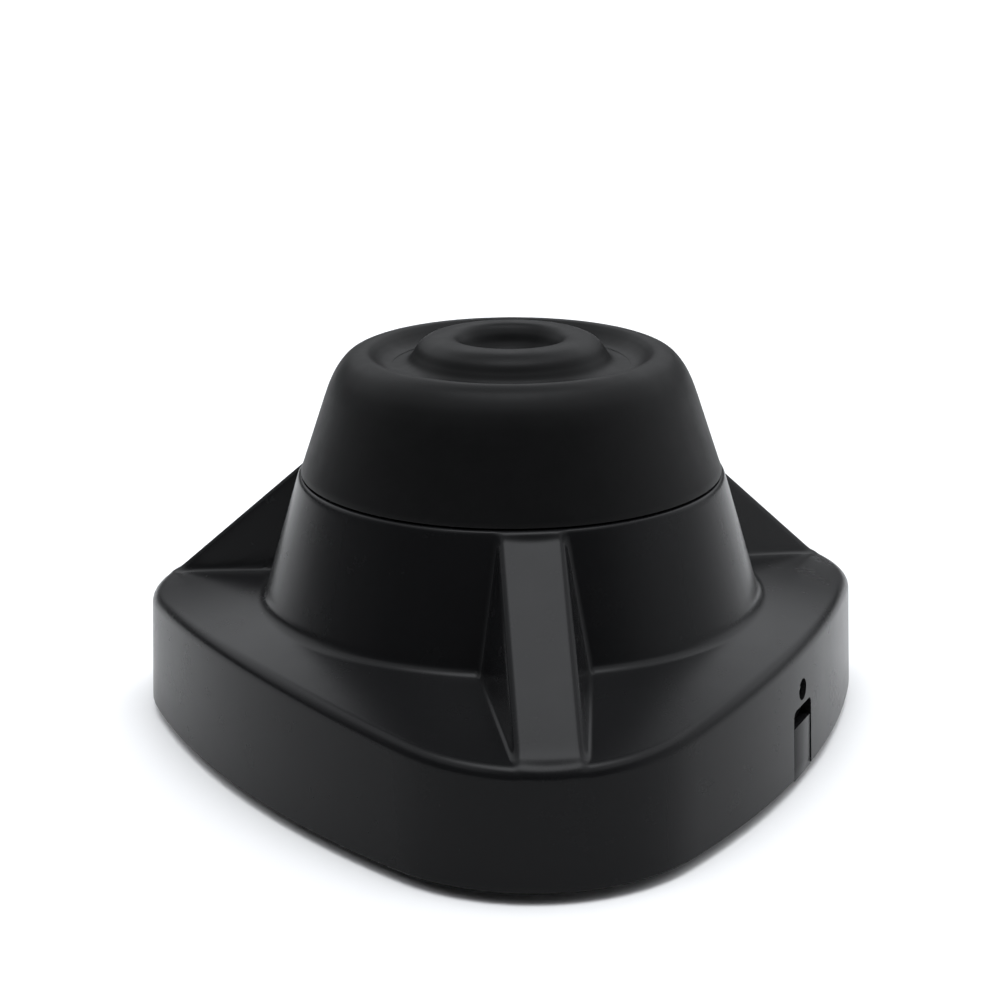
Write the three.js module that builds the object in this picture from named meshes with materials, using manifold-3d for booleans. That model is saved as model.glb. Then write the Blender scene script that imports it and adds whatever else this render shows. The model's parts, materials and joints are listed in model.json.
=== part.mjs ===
// Bottle shaker: a press-to-run vortex mixer for small ink, paint and polish bottles.
//
// A three-cornered housing carries a conical tower with three gusset ribs. A rubber boot closes the
// tower, and a rubber cup with a dimple stands in the boot. A bottle pressed into the dimple pushes
// the spring-loaded motor platform down onto a microswitch, and an eccentric on the motor shaft
// carries the cup round a small circle without turning it.
//
// Millimetres, +Z up. The parts are drawn with the motor axis at x = y = 0 and the bottom edge of
// the housing wall at z = 0. The outer group moves them so that the origin lies on the resting
// surface, under the middle of the object's box.

import * as THREE from 'three';
import { mergeVertices } from 'three/addons/utils/BufferGeometryUtils.js';
import Module from 'manifold-3d';

const wasm = await Module();
wasm.setup();

// ---------------------------------------------------------------- driving dimensions

const GAP = 0.3; // between pieces that touch
const DEG = Math.PI / 180;

// plan outline: three corner arcs joined by gently bulged sides
const CORNER_AT = 41.8; // corner arc centre to motor axis
const CORNER_R = 34.4;
const SIDE_BULGE = 4.4; // rise of a side over the line between two corner centres
const CORNER_ANGLES = { front: -90, right: 30, left: 150 };

// housing
const WALL = 2.4;
const WALL_DRAFT = 0.043; // the wall leans in this much per millimetre upwards
const DECK_FALL = 0.2; // the deck drops this much per millimetre outwards
const TOWER_FOOT_R = 47.1;
const TOWER_FOOT_Z = 27.0;
const SEAM_R = 40.0;
const SEAM_Z = 50.8;
const SPIGOT_Z = 57.0; // top of the ring that the boot grips
const SHOULDER = 2.6; // thickness of the tower's top shoulder

// gusset ribs, one on each corner
const RIB_TOP = { r: 40.1, z: 50.2 };
const RIB_FOOT = { r: 76.0, z: 19.3 };
const RIB_HALF = 5.6;
const RIB_FLARE = 0.27; // flank draft, in width per millimetre of depth
const RIB_DEPTH = 34;
const RIB_EDGE = 0.7; // chamfer along the rib's top edges

// posts for the base screws, one under each rib
const BOSS_R = 3.8;
const BOSS_Z = 5.4;
const BOSS_BORE_R = 1.6;
const BOSS_BORE_TOP = 16;
const WEB_HALF = 0.9; // web between a post and its corner of the wall

// rubber boot and shaker cup
const RUBBER = 2.2;
const BOOT_FOOT_R = 39.55; // seam radius less the boot's set-back
const BOOT_SHOULDER = { r: 34.8, z: 65.1 };
const RIM_R = 27.8;
const RIM_Z = 73.8;
const MOAT_Z = 71.5;
const LIP_R = 22.2; // inner edge of the boot's lip
const HUMP_R = 12.0;
const HUMP_Z = 76.0;
const DIMPLE_Z = 70.0;
const FLANGE_R = 25.0;

// drive
const ECCENTRIC = 2.0; // orbit radius of the cup
const MOTOR_R = 12.2;
const MOTOR_Z = [9.7, 39.7];
const CAN_WALL = 0.9;
const MOTOR_NOSE_R = 3.0; // the can's bearing nose, centred in the platform
const MOTOR_NOSE = 1.5;
const MOTOR_SCREW_AT = 8.5;
const MOTOR_SCREW_HOLE_R = 1.4;
const MAGNET_R = [8.7, 11.0];
const SHAFT_R = 1.15;
const BORE_R = SHAFT_R + GAP;
const PLATFORM_Z = [40.0, 43.0];
const PLATFORM_R = 34.0;
const GUIDE_AT = 27.0;
const GUIDE_HOLE_R = 2.4;
const POST_Z = 26.0;
const PRESS_TRAVEL = 1.2;
const SPRING = { r: 3.25, wireR: 0.42, turns: 5, clear: 0.45 };
const HUB_R = 7.5;
const HUB_Z = [45.6, 53.0];
const GRUB_BORE_R = 1.6;
const WEIGHT_R = 16.5;
const PIN_R = 2.2;
const PIN_SEAT_R = 3.6;
const BEARING_Z = [54.6, 59.6];
const BALLS = 7;
const BALL_R = 1.2;
const BALL_TRACK_R = 5.25;

// base
const PLATE = 2.5;
const FOOT_PROUD = 2.0;
const FOOT_AT = 59.0;
const FOOT_R = 7.6;

// charging port, on the side between the front and right corners
const PORT_ANGLE = -30;
const PORT_SHIFT = -1.3; // from the side's middle towards the front corner
const PORT_Z = 11.8;
const NOTCH = { half: 4.8, top: PORT_Z + 1.6, corner: 1.4 };
const TONGUE_HALF = 4.5; // the base plate's tongue, which fills the notch under the socket
const SOCKET_LENGTH = 7.4;
const SOCKET_SET_BACK = 2.3; // from the wall's foot to the socket's mouth
const LED_Z = 16.3;
const LED_HOLE_R = 2.0;
const BOARD_Z = [8.3, 9.9];
const BOARD_SCREWS = [[39.5, 12.5], [39.5, -12.5]];

// start switch, on a pedestal of the base plate
const SWITCH_ANGLE = 210;
const SWITCH_Z = [28.3, 34.8];
const SWITCH_HALF = [2.9, 6.4]; // half its depth and half its width

// battery along the back side
const CELL_R = 9.1;
const CELL_Y = 36.0;
const CELL_Z = 12.6;
const CELL_HALF = 32.4;
const CRADLE_HALF = [35.6, 9.6]; // half its length and half its width
const CRADLE_END = 34.1; // inner face of an end wall

// leads
const LEAD_R = 0.6;
const FLOOR_RUN = PLATE + LEAD_R + 0.5; // height of a lead that runs along the base plate

// ---------------------------------------------------------------- materials

const finish = (color, roughness, metalness = 0) =>
  new THREE.MeshStandardMaterial({ color, roughness, metalness });

const BLACK_ABS = finish(0x141415, 0.42);
const BLACK_RUBBER = finish(0x121212, 0.72);
const NATURAL_NYLON = finish(0xd8d4c8, 0.55);
const STEEL = finish(0xa9abad, 0.32, 1);
const SPRING_STEEL = finish(0x8f9092, 0.28, 1);
const BRASS = finish(0xb08d4a, 0.35, 1);
const FERRITE = finish(0x2e2c2b, 0.7);
const GREEN_BOARD = finish(0x14512f, 0.45);
const BLACK_EPOXY = finish(0x1b1b1c, 0.5);
const WHITE_PLASTIC = finish(0xe6e3da, 0.5);
const CELL_WRAP = finish(0x2a5d9c, 0.4);
const LED_LENS = finish(0xdfe7e4, 0.12);
const RED_PVC = finish(0xb3221c, 0.5);
const BLACK_PVC = finish(0x18181a, 0.5);
const YELLOW_PVC = finish(0xd0a71c, 0.5);

// ---------------------------------------------------------------- geometry helpers

// One closed body: shared vertices merged, collapsed triangles dropped, faces pointing out.
function closed(geometry) {
  const bare = geometry.clone();
  bare.deleteAttribute('normal');
  bare.deleteAttribute('uv');
  const merged = mergeVertices(bare, 1e-4);
  const at = merged.attributes.position;
  const index = merged.index.array;
  const corner = [new THREE.Vector3(), new THREE.Vector3(), new THREE.Vector3()];
  const faces = [];
  let volume = 0;
  for (let i = 0; i < index.length; i += 3) {
    const [a, b, c] = [index[i], index[i + 1], index[i + 2]];
    if (a === b || b === c || c === a) continue;
    [a, b, c].forEach((vertex, k) => corner[k].fromBufferAttribute(at, vertex));
    volume += corner[0].dot(corner[1].clone().cross(corner[2]));
    faces.push(a, b, c);
  }
  if (volume < 0) {
    for (let i = 0; i < faces.length; i += 3) {
      [faces[i], faces[i + 1]] = [faces[i + 1], faces[i]];
    }
  }
  merged.setIndex(faces);
  return merged;
}

function solid(geometry) {
  const whole = closed(geometry);
  return new wasm.Manifold(new wasm.Mesh({
    numProp: 3,
    vertProperties: Float32Array.from(whole.attributes.position.array),
    triVerts: Uint32Array.from(whole.index.array),
  }));
}

function toGeometry(body) {
  const mesh = body.getMesh();
  const geometry = new THREE.BufferGeometry();
  geometry.setAttribute('position', new THREE.BufferAttribute(mesh.vertProperties, 3));
  geometry.setIndex(new THREE.BufferAttribute(mesh.triVerts, 1));
  return geometry;
}

const join = (...geometries) =>
  geometries.map(solid).reduce((whole, piece) => whole.add(piece));

const cut = (body, ...geometries) =>
  geometries.map(solid).reduce((whole, piece) => whole.subtract(piece), body);

// A profile of [radius, height] points turned about the Z axis.
function lathe(points, segments = 24) {
  const profile = points.map(([r, z]) => new THREE.Vector2(r, z));
  return closed(new THREE.LatheGeometry(profile, segments).rotateX(90 * DEG));
}

const disc = (r, z0, z1, segments = 20) =>
  lathe([[0, z0], [r, z0], [r, z1], [0, z1]], segments);

const ring = (inner, outer, z0, z1, segments = 24) =>
  lathe([[inner, z0], [outer, z0], [outer, z1], [inner, z1], [inner, z0]], segments);

function block([x0, x1], [y0, y1], [z0, z1]) {
  const box = new THREE.BoxGeometry(x1 - x0, y1 - y0, z1 - z0);
  return closed(box.translate((x0 + x1) / 2, (y0 + y1) / 2, (z0 + z1) / 2));
}

function extrude(shape, z0, z1, curveSegments = 4) {
  const options = { depth: z1 - z0, bevelEnabled: false, curveSegments };
  return closed(new THREE.ExtrudeGeometry(shape, options).translate(0, 0, z0));
}

// A round bar of the given radius along a curve.
function bar(curve, radius, steps, sides = 6) {
  const section = new THREE.Shape();
  for (let i = 0; i < sides; i += 1) {
    const turn = (2 * Math.PI * i) / sides;
    const point = [radius * Math.cos(turn), radius * Math.sin(turn)];
    if (i === 0) section.moveTo(...point);
    else section.lineTo(...point);
  }
  section.closePath();
  return closed(new THREE.ExtrudeGeometry(section, { steps, extrudePath: curve }));
}

const through = (points) =>
  new THREE.CatmullRomCurve3(points.map((point) => new THREE.Vector3(...point)), false, 'centripetal');

// A span along x, on the right (side 1) or the left (side -1).
const mirrored = (span, side) => (side > 0 ? span : [-span[1], -span[0]]);

// A point given by radius, angle in degrees and height.
const polar = (r, angle, z = 0) => [r * Math.cos(angle * DEG), r * Math.sin(angle * DEG), z];

// ---------------------------------------------------------------- shared outlines

// The plan outline, moved inwards by inset. Offsetting keeps every arc's centre.
function outline(inset) {
  const halfChord = CORNER_AT * Math.sin(60 * DEG);
  const centreArcR = (halfChord ** 2 + SIDE_BULGE ** 2) / (2 * SIDE_BULGE);
  const halfTurn = Math.asin(halfChord / centreArcR);
  const sideCentre = CORNER_AT / 2 + SIDE_BULGE - centreArcR;
  const shape = new THREE.Shape();
  for (const angle of Object.values(CORNER_ANGLES)) {
    const [cx, cy] = polar(CORNER_AT, angle);
    const spread = 60 * DEG - halfTurn;
    shape.absarc(cx, cy, CORNER_R - inset, angle * DEG - spread, angle * DEG + spread);
    const side = angle + 60;
    const [sx, sy] = polar(sideCentre, side);
    const sideR = centreArcR + CORNER_R - inset;
    shape.absarc(sx, sy, sideR, side * DEG - halfTurn, side * DEG + halfTurn);
  }
  shape.closePath();
  return shape;
}

// Leans an upright body in towards the motor axis by the wall's draft.
function drafted(geometry) {
  const points = geometry.attributes.position;
  for (let i = 0; i < points.count; i += 1) {
    const [x, y, z] = [points.getX(i), points.getY(i), points.getZ(i)];
    const shrink = 1 - (WALL_DRAFT * z) / Math.hypot(x, y);
    points.setXY(i, x * shrink, y * shrink);
  }
  return geometry;
}

const CORNER_REACH = CORNER_AT + CORNER_R;
const SIDE_REACH = CORNER_AT / 2 + SIDE_BULGE + CORNER_R;

const deckZ = (r) => TOWER_FOOT_Z - DECK_FALL * (r - TOWER_FOOT_R);
const BEYOND = CORNER_REACH + 10;

// Deck and tower as one turned body, drawn deeper by depth to make the hollow inside.
function deckAndTower(depth, topZ, topR) {
  const foot = [
    [TOWER_FOOT_R + 2.2 - depth, deckZ(TOWER_FOOT_R + 2.2) - depth],
    [TOWER_FOOT_R + 0.4 - depth, TOWER_FOOT_Z + 0.5 - depth],
    [TOWER_FOOT_R - 0.7 - depth, TOWER_FOOT_Z + 2.2 - depth],
  ];
  const bottom = depth > 0 ? -1 : 0;
  return lathe([
    [0, bottom], [BEYOND, bottom], [BEYOND, deckZ(BEYOND) - depth], ...foot, [topR, topZ], [0, topZ],
  ], 48);
}

// A gusset rib lying along its sloping top line, from inside the tower to past the corner.
function rib(angle, depth) {
  const run = RIB_FOOT.r - RIB_TOP.r;
  const drop = RIB_TOP.z - RIB_FOOT.z;
  const length = Math.hypot(run, drop);
  const early = 6;
  const late = 8;
  const narrow = RIB_HALF - depth * 0.8;
  const low = narrow + RIB_FLARE * RIB_DEPTH;
  const edge = depth > 0 ? 0 : RIB_EDGE;
  const section = new THREE.Shape();
  section.moveTo(-low, -RIB_DEPTH);
  section.lineTo(low, -RIB_DEPTH);
  section.lineTo(narrow + 0.1, -edge);
  if (edge > 0) section.lineTo(narrow - edge, 0);
  if (edge > 0) section.lineTo(edge - narrow, 0);
  section.lineTo(-narrow - 0.1, -edge);
  section.closePath();
  const along = new THREE.Vector3(run / length, 0, -drop / length);
  const across = new THREE.Vector3(0, 1, 0);
  const up = along.clone().cross(across);
  const start = new THREE.Vector3(RIB_TOP.r, 0, RIB_TOP.z);
  start.addScaledVector(along, -early).addScaledVector(up, -depth);
  const place = new THREE.Matrix4().makeBasis(across, up, along).setPosition(start);
  return extrude(section, 0, length + early + late).applyMatrix4(place).rotateZ(angle * DEG);
}

// ---------------------------------------------------------------- housing and base

function housing() {
  const skin = solid(deckAndTower(0, SEAM_Z, SEAM_R));
  let outer = skin;
  let hollow = solid(deckAndTower(WALL, SEAM_Z - SHOULDER, SEAM_R - WALL));
  for (const angle of Object.values(CORNER_ANGLES)) {
    outer = outer.add(solid(rib(angle, 0)));
    hollow = hollow.add(solid(rib(angle, WALL)));
  }
  outer = outer.intersect(solid(drafted(extrude(outline(0), 0, SEAM_Z))));
  hollow = hollow.intersect(solid(drafted(extrude(outline(WALL), -1, SEAM_Z - SHOULDER))));

  const slope = (SEAM_R - GAP / 2 - BOOT_SHOULDER.r) / (BOOT_SHOULDER.z - SEAM_Z);
  const gripR = SEAM_R - RUBBER - 0.8;
  const gripTopR = gripR - slope * (SPIGOT_Z - SEAM_Z);
  const grip = lathe([
    [gripR - WALL, SEAM_Z - 1], [gripR, SEAM_Z - 1], [gripR, SEAM_Z], [gripTopR, SPIGOT_Z],
    [gripTopR - WALL, SPIGOT_Z], [gripR - WALL, SEAM_Z - 1],
  ], 48);
  let body = cut(outer, disc(gripR - WALL, SEAM_Z - SHOULDER - 1, SEAM_Z + 1, 48)).subtract(hollow);
  body = body.add(solid(grip));

  for (const angle of Object.values(CORNER_ANGLES)) {
    const [x, y] = polar(FOOT_AT, angle);
    const boss = disc(BOSS_R, BOSS_Z, SEAM_Z, 12).translate(x, y, 0);
    const web = block([FOOT_AT, CORNER_REACH - 1], [-WEB_HALF, WEB_HALF], [BOSS_Z + 1.6, SEAM_Z]);
    body = body.add(join(boss, web.rotateZ(angle * DEG)).intersect(outer));
    body = cut(body, disc(BOSS_BORE_R, BOSS_Z - 1, BOSS_BORE_TOP, 8).translate(x, y, 0));
  }

  const reach = 12; // clean through the wall, from outside it
  const portCut = extrude(portArch(), 0, reach);
  const ledHole = disc(LED_HOLE_R, 0, reach, 16).translate(LED_Z, 0, 0);
  return cut(body, ontoPortWall(portCut), ontoPortWall(ledHole));
}

// The notch for the charging port, drawn lying down: x is height, y is along the wall.
function portArch() {
  const { half, top, corner } = NOTCH;
  const shape = new THREE.Shape();
  shape.moveTo(-1, -half);
  shape.lineTo(top - corner, -half);
  shape.absarc(top - corner, corner - half, corner, -90 * DEG, 0);
  shape.absarc(top - corner, half - corner, corner, 0, 90 * DEG);
  shape.lineTo(-1, half);
  shape.closePath();
  return shape;
}

// Turns a shape drawn with x outwards and y along the wall to face the port.
const inPortBay = (geometry) =>
  geometry.translate(0, PORT_SHIFT, 0).rotateZ(PORT_ANGLE * DEG);

// Stands a shape drawn with x as height up against the port wall, running outwards.
const ontoPortWall = (geometry) =>
  inPortBay(geometry.rotateY(-90 * DEG).translate(SIDE_REACH + 6, 0, 0));

function basePlate() {
  const inset = WALL + GAP;
  let body = solid(extrude(outline(inset), 0, PLATE));
  const face = SIDE_REACH - 0.15;
  const width = [-TONGUE_HALF, TONGUE_HALF];
  const tongue = block([SIDE_REACH - inset - 4, face], width, [0, PLATE]);
  const tab = drafted(block([SIDE_REACH - WALL, face], width, [0, PORT_Z - 1.85]));
  body = body.add(solid(inPortBay(tongue))).add(solid(inPortBay(tab)));
  for (const angle of Object.values(CORNER_ANGLES)) {
    const pad = disc(6.6, 1, 5.0, 16).translate(...polar(FOOT_AT, angle));
    const post = disc(4, 1, POST_Z, 12).translate(...polar(GUIDE_AT, angle));
    body = body.add(join(pad, post));
    const at = polar(FOOT_AT, angle);
    body = cut(
      body,
      disc(FOOT_R + GAP, -1, 0.8, 18).translate(...at),
      disc(3.3, 0, 2.6, 10).translate(...at),
      disc(1.8, 0, 6, 8).translate(...at),
      disc(1.7, 17, POST_Z + 1, 8).translate(...polar(GUIDE_AT, angle)),
    );
  }
  for (const [x, y] of BOARD_SCREWS) {
    const post = disc(2.6, 1, BOARD_Z[0] - GAP, 12).translate(x, y, 0);
    const pilot = disc(1.2, 4, 12, 8).translate(x, y, 0);
    body = cut(body.add(solid(inPortBay(post))), inPortBay(pilot));
  }
  const [deep, wide] = SWITCH_HALF;
  const pedestal = block([GUIDE_AT - deep, GUIDE_AT + deep], [-wide, wide], [1, SWITCH_Z[0] - GAP]);
  return body.add(solid(pedestal.rotateZ(SWITCH_ANGLE * DEG)));
}

const foot = () => lathe([
  [0, -FOOT_PROUD], [FOOT_R - 0.8, -FOOT_PROUD], [FOOT_R, 0.8 - FOOT_PROUD], [FOOT_R, 0.5], [0, 0.5],
], 18);

// A pan-head screw standing on its tip: shank radius and span, head radius and height.
const screw = (shankR, z0, z1, headR, headHigh, segments = 8) => lathe([
  [0, z0], [shankR, z0], [shankR, z1], [headR, z1], [headR * 0.8, z1 + headHigh], [0, z1 + headHigh],
], segments);

// ---------------------------------------------------------------- boot and cup

function rubberBoot() {
  const base = [BOOT_FOOT_R, SEAM_Z + GAP];
  const shoulder = [BOOT_SHOULDER.r, BOOT_SHOULDER.z];
  const round = new THREE.CubicBezierCurve(
    new THREE.Vector2(...shoulder), new THREE.Vector2(33.2, 69.9),
    new THREE.Vector2(31.6, RIM_Z), new THREE.Vector2(RIM_R, RIM_Z),
  );
  const rim = round.getPoints(5).map((point) => [point.x, point.y]);
  return lathe([
    base, ...rim, [25.0, 73.0], [23.4, 71.9], [LIP_R, MOAT_Z],
    [LIP_R, MOAT_Z - 0.6], [27.0, MOAT_Z - 1.2], [29.6, 70.4], [31.6, 67.6],
    [shoulder[0] - RUBBER, shoulder[1]], [base[0] - RUBBER, base[1]], base,
  ], 40);
}

function shakerCup() {
  return lathe([
    [0, 67.3], [11.7, 67.3], [15.4, 63.2], [15.4, 60.5], [13.0, 60.5], [13.0, 59.0], [17.8, 59.0],
    [17.8, 68.0], [FLANGE_R, 68.7], [FLANGE_R, 70.0], [20.2, 70.6], [18.9, 71.6], [18.0, 73.0],
    [16.8, 74.6], [14.8, 75.7], [HUMP_R, HUMP_Z], [10.5, 75.6], [9.4, 74.4], [8.3, 72.4], [6.9, 71.0],
    [4.5, 70.3], [0, DIMPLE_Z],
  ], 32);
}

const cupCarrier = () => lathe([
  [0, 67.0], [11.4, 67.0], [15.1, 63.0], [15.1, 60.8], [11.5, 60.8], [11.5, 54.3], [8.3, 54.3],
  [8.3, 59.9], [7.0, 59.9], [7.0, 62.6], [0, 62.6],
], 24);

// ---------------------------------------------------------------- motor and platform

function platform() {
  const plate = new THREE.Shape().absarc(0, 0, PLATFORM_R, 0, 2 * Math.PI);
  const hole = (x, y, r) => {
    plate.holes.push(new THREE.Path().absarc(x, y, r, 0, 2 * Math.PI, true));
  };
  hole(0, 0, MOTOR_NOSE_R + GAP);
  hole(MOTOR_SCREW_AT, 0, MOTOR_SCREW_HOLE_R);
  hole(-MOTOR_SCREW_AT, 0, MOTOR_SCREW_HOLE_R);
  for (const angle of Object.values(CORNER_ANGLES)) {
    const [x, y] = polar(GUIDE_AT, angle);
    hole(x, y, GUIDE_HOLE_R);
  }
  const presser = disc(2.5, SWITCH_Z[1] + 2.0, PLATFORM_Z[0] + 1, 12);
  const [x, y] = polar(GUIDE_AT, SWITCH_ANGLE);
  return solid(extrude(plate, ...PLATFORM_Z, 6)).add(solid(presser.translate(x, y, 0)));
}

function motorCan() {
  const [low, high] = MOTOR_Z;
  const shell = lathe([
    [MOTOR_R - CAN_WALL, low], [MOTOR_R, low], [MOTOR_R, high - 0.8], [MOTOR_R - 0.8, high],
    [MOTOR_NOSE_R, high], [MOTOR_NOSE_R, high + MOTOR_NOSE], [BORE_R, high + MOTOR_NOSE],
    [BORE_R, high - 1.2], [MOTOR_R - CAN_WALL, high - 1.2], [MOTOR_R - CAN_WALL, low],
  ], 24);
  const holes = [1, -1].map((side) =>
    disc(MOTOR_SCREW_HOLE_R, high - 3, high + 1, 10).translate(side * MOTOR_SCREW_AT, 0, 0));
  return cut(solid(shell), ...holes);
}

function motorRotor() {
  const shape = new THREE.Shape();
  for (let pole = 0; pole < 3; pole += 1) {
    const at = 120 * pole;
    shape.absarc(0, 0, 8, (at - 48) * DEG, (at + 48) * DEG);
    for (const [r, turn] of [[6.7, 48], [6.2, 18], [3.6, 30], [3.6, 90], [6.2, 102], [6.7, 72]]) {
      const [x, y] = polar(r, at + turn);
      shape.lineTo(x, y);
    }
  }
  shape.closePath();
  shape.holes.push(new THREE.Path().absarc(0, 0, BORE_R, 0, 2 * Math.PI, true));
  return extrude(shape, 15, 34, 4);
}

function sector([inner, outer], halfTurn) {
  const shape = new THREE.Shape();
  shape.absarc(0, 0, outer, -halfTurn * DEG, halfTurn * DEG);
  shape.absarc(0, 0, inner, halfTurn * DEG, -halfTurn * DEG, true);
  shape.closePath();
  return shape;
}

// The wire's path in a return spring, from its post up to the platform.
class SpringCurve extends THREE.Curve {
  getPoint(t, target = new THREE.Vector3()) {
    const low = POST_Z + GAP + SPRING.clear;
    const high = PLATFORM_Z[0] - GAP - SPRING.clear;
    const turn = 2 * Math.PI * SPRING.turns * t;
    const { r } = SPRING;
    return target.set(r * Math.cos(turn), r * Math.sin(turn), low + (high - low) * t);
  }
}

// ---------------------------------------------------------------- eccentric drive

function eccentricHub() {
  const [low, high] = HUB_Z;
  const hub = disc(HUB_R, low, high, 20);
  const seat = disc(PIN_SEAT_R, high - 1, BEARING_Z[0] - GAP, 16).translate(ECCENTRIC, 0, 0);
  const pin = disc(PIN_R, high - 1, BEARING_Z[1] + 0.6, 16).translate(ECCENTRIC, 0, 0);
  return cut(
    join(hub, seat, pin),
    disc(BORE_R, low - 1, high - 0.8, 14),
    disc(1.1, high + 1.5, BEARING_Z[1] + 1, 10).translate(ECCENTRIC, 0, 0),
    disc(GRUB_BORE_R, 0, 10, 12).rotateY(-90 * DEG).translate(0, 0, (low + high) / 2),
  );
}

function counterweight() {
  const [low, high] = HUB_Z;
  const plate = extrude(sector([HUB_R + GAP, WEIGHT_R], 78), low + 0.4, high - 1.4, 7);
  const bore = disc(GRUB_BORE_R, 0, 20, 12).rotateY(-90 * DEG).translate(0, 0, (low + high) / 2);
  return cut(solid(plate.rotateZ(180 * DEG)), bore);
}

const grubScrew = () =>
  disc(1.3, 1.6, 14.5, 10).rotateY(-90 * DEG).translate(0, 0, (HUB_Z[0] + HUB_Z[1]) / 2);

function bearingBalls() {
  const middle = (BEARING_Z[0] + BEARING_Z[1]) / 2;
  let cage = solid(ring(4.9, 5.6, middle - 0.7, middle + 0.7, 21));
  for (let ball = 0; ball < BALLS; ball += 1) {
    const [x, y] = polar(BALL_TRACK_R, (360 / BALLS) * ball);
    cage = cage.add(solid(new THREE.SphereGeometry(BALL_R, 6, 4).translate(x, y, middle)));
  }
  return cage;
}

// ---------------------------------------------------------------- electronics

function controlBoard() {
  const plan = new THREE.Shape();
  plan.moveTo(36, -15).lineTo(50, -15).lineTo(56.2, -9.8).lineTo(56.2, 15).lineTo(36, 15).closePath();
  const board = extrude(plan, ...BOARD_Z);
  const holes = BOARD_SCREWS.map(([x, y]) => disc(1.2, 0, 20, 10).translate(x, y, 0));
  return cut(solid(board), ...holes);
}

// A stadium, wide along y, drawn with x as height.
function stadium(width, high) {
  const half = (width - high) / 2;
  const shape = new THREE.Shape();
  shape.absarc(0, half, high / 2, 0, 180 * DEG);
  shape.absarc(0, -half, high / 2, 180 * DEG, 360 * DEG);
  shape.closePath();
  return shape;
}

// The charging socket's metal shell: a stadium tube, open towards the wall.
function portShell() {
  const outer = extrude(stadium(8.9, 3.0), 0, SOCKET_LENGTH, 5);
  const mouth = extrude(stadium(8.3, 2.4), 0.6, 9, 5);
  return cut(solid(outer), mouth);
}

// A round lamp lying along z with two bent legs that reach down (+x) to the board.
function statusLed() {
  const lamp = lathe([
    [0, 0], [1.75, 0], [1.75, 0.8], [1.45, 0.8], [1.45, 4.4], [1.2, 5.2], [0.7, 5.7], [0, 5.9],
  ], 16);
  const legs = [1.1, -1.1].flatMap((y) => [
    block([-0.25, 0.25], [y - 0.25, y + 0.25], [-3.4, 0.5]),
    block([-0.25, LED_Z - BOARD_Z[1] - GAP], [y - 0.25, y + 0.25], [-3.4, -2.9]),
  ]);
  return join(lamp, ...legs);
}

function batteryCradle() {
  const [long, wide] = CRADLE_HALF;
  const tray = block([-long, long], [CELL_Y - wide, CELL_Y + wide], [PLATE + GAP, 8.0]);
  const ends = [1, -1].map((side) =>
    block(mirrored([CRADLE_END, long], side), [CELL_Y - 8, CELL_Y + 8], [4, 15]));
  const trough = disc(CELL_R + GAP, -CRADLE_END, CRADLE_END, 24).rotateY(90 * DEG);
  return cut(join(tray, ...ends), trough.translate(0, CELL_Y, CELL_Z));
}

const batteryCell = () => lathe([
  [0, -CELL_HALF], [CELL_R, -CELL_HALF], [CELL_R, CELL_HALF - 0.8], [3.5, CELL_HALF - 0.8],
  [3.5, CELL_HALF], [0, CELL_HALF],
], 24).rotateY(90 * DEG).translate(0, CELL_Y, CELL_Z);

// A contact strip between the cell's end and the cradle's end wall, with a solder tab.
function batteryContact(side) {
  const inner = CELL_HALF + GAP;
  const thick = 0.5;
  const top = 16.6;
  return join(
    block(mirrored([inner, inner + thick], side), [CELL_Y - 4, CELL_Y + 4], [8.3, top]),
    block(mirrored([inner, inner + 3.2], side), [CELL_Y - 1.5, CELL_Y + 1.5], [top - thick, top]),
  );
}

// ---------------------------------------------------------------- assembly

const part = new THREE.Group();
part.name = 'bottle_shaker';
part.position.set(0, (CORNER_REACH - SIDE_REACH) / 2, FOOT_PROUD);

function add(name, shape, material, parent = part) {
  const geometry = shape instanceof THREE.BufferGeometry ? shape : toGeometry(shape);
  const mesh = new THREE.Mesh(geometry, material);
  mesh.name = name;
  parent.add(mesh);
  return mesh;
}

const group = (parent = part) => {
  const child = new THREE.Group();
  parent.add(child);
  return child;
};

add('housing', housing(), BLACK_ABS);
add('base_plate', basePlate(), BLACK_ABS);
add('rubber_boot', rubberBoot(), BLACK_RUBBER);
for (const [corner, angle] of Object.entries(CORNER_ANGLES)) {
  add(`foot_${corner}`, foot(), BLACK_RUBBER).position.set(...polar(FOOT_AT, angle));
  const fixing = screw(1.3, 4.5, 14.3, 2.9, 1.4).rotateX(180 * DEG).translate(0, 0, 16.7);
  add(`base_screw_${corner}`, fixing, STEEL).position.set(...polar(FOOT_AT, angle));
  const guide = lathe([
    [0, 18], [1.4, 18], [1.4, POST_Z + GAP], [2.0, POST_Z + GAP], [2.0, PLATFORM_Z[1] + GAP],
    [3.6, PLATFORM_Z[1] + GAP], [3.6, PLATFORM_Z[1] + 1.9], [3.0, PLATFORM_Z[1] + 2.3],
    [0, PLATFORM_Z[1] + 2.3],
  ], 12);
  add(`guide_screw_${corner}`, guide, STEEL).position.set(...polar(GUIDE_AT, angle));
  const coil = bar(new SpringCurve(), SPRING.wireR, 45, 4);
  add(`return_spring_${corner}`, coil, SPRING_STEEL).position.set(...polar(GUIDE_AT, angle));
}

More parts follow.
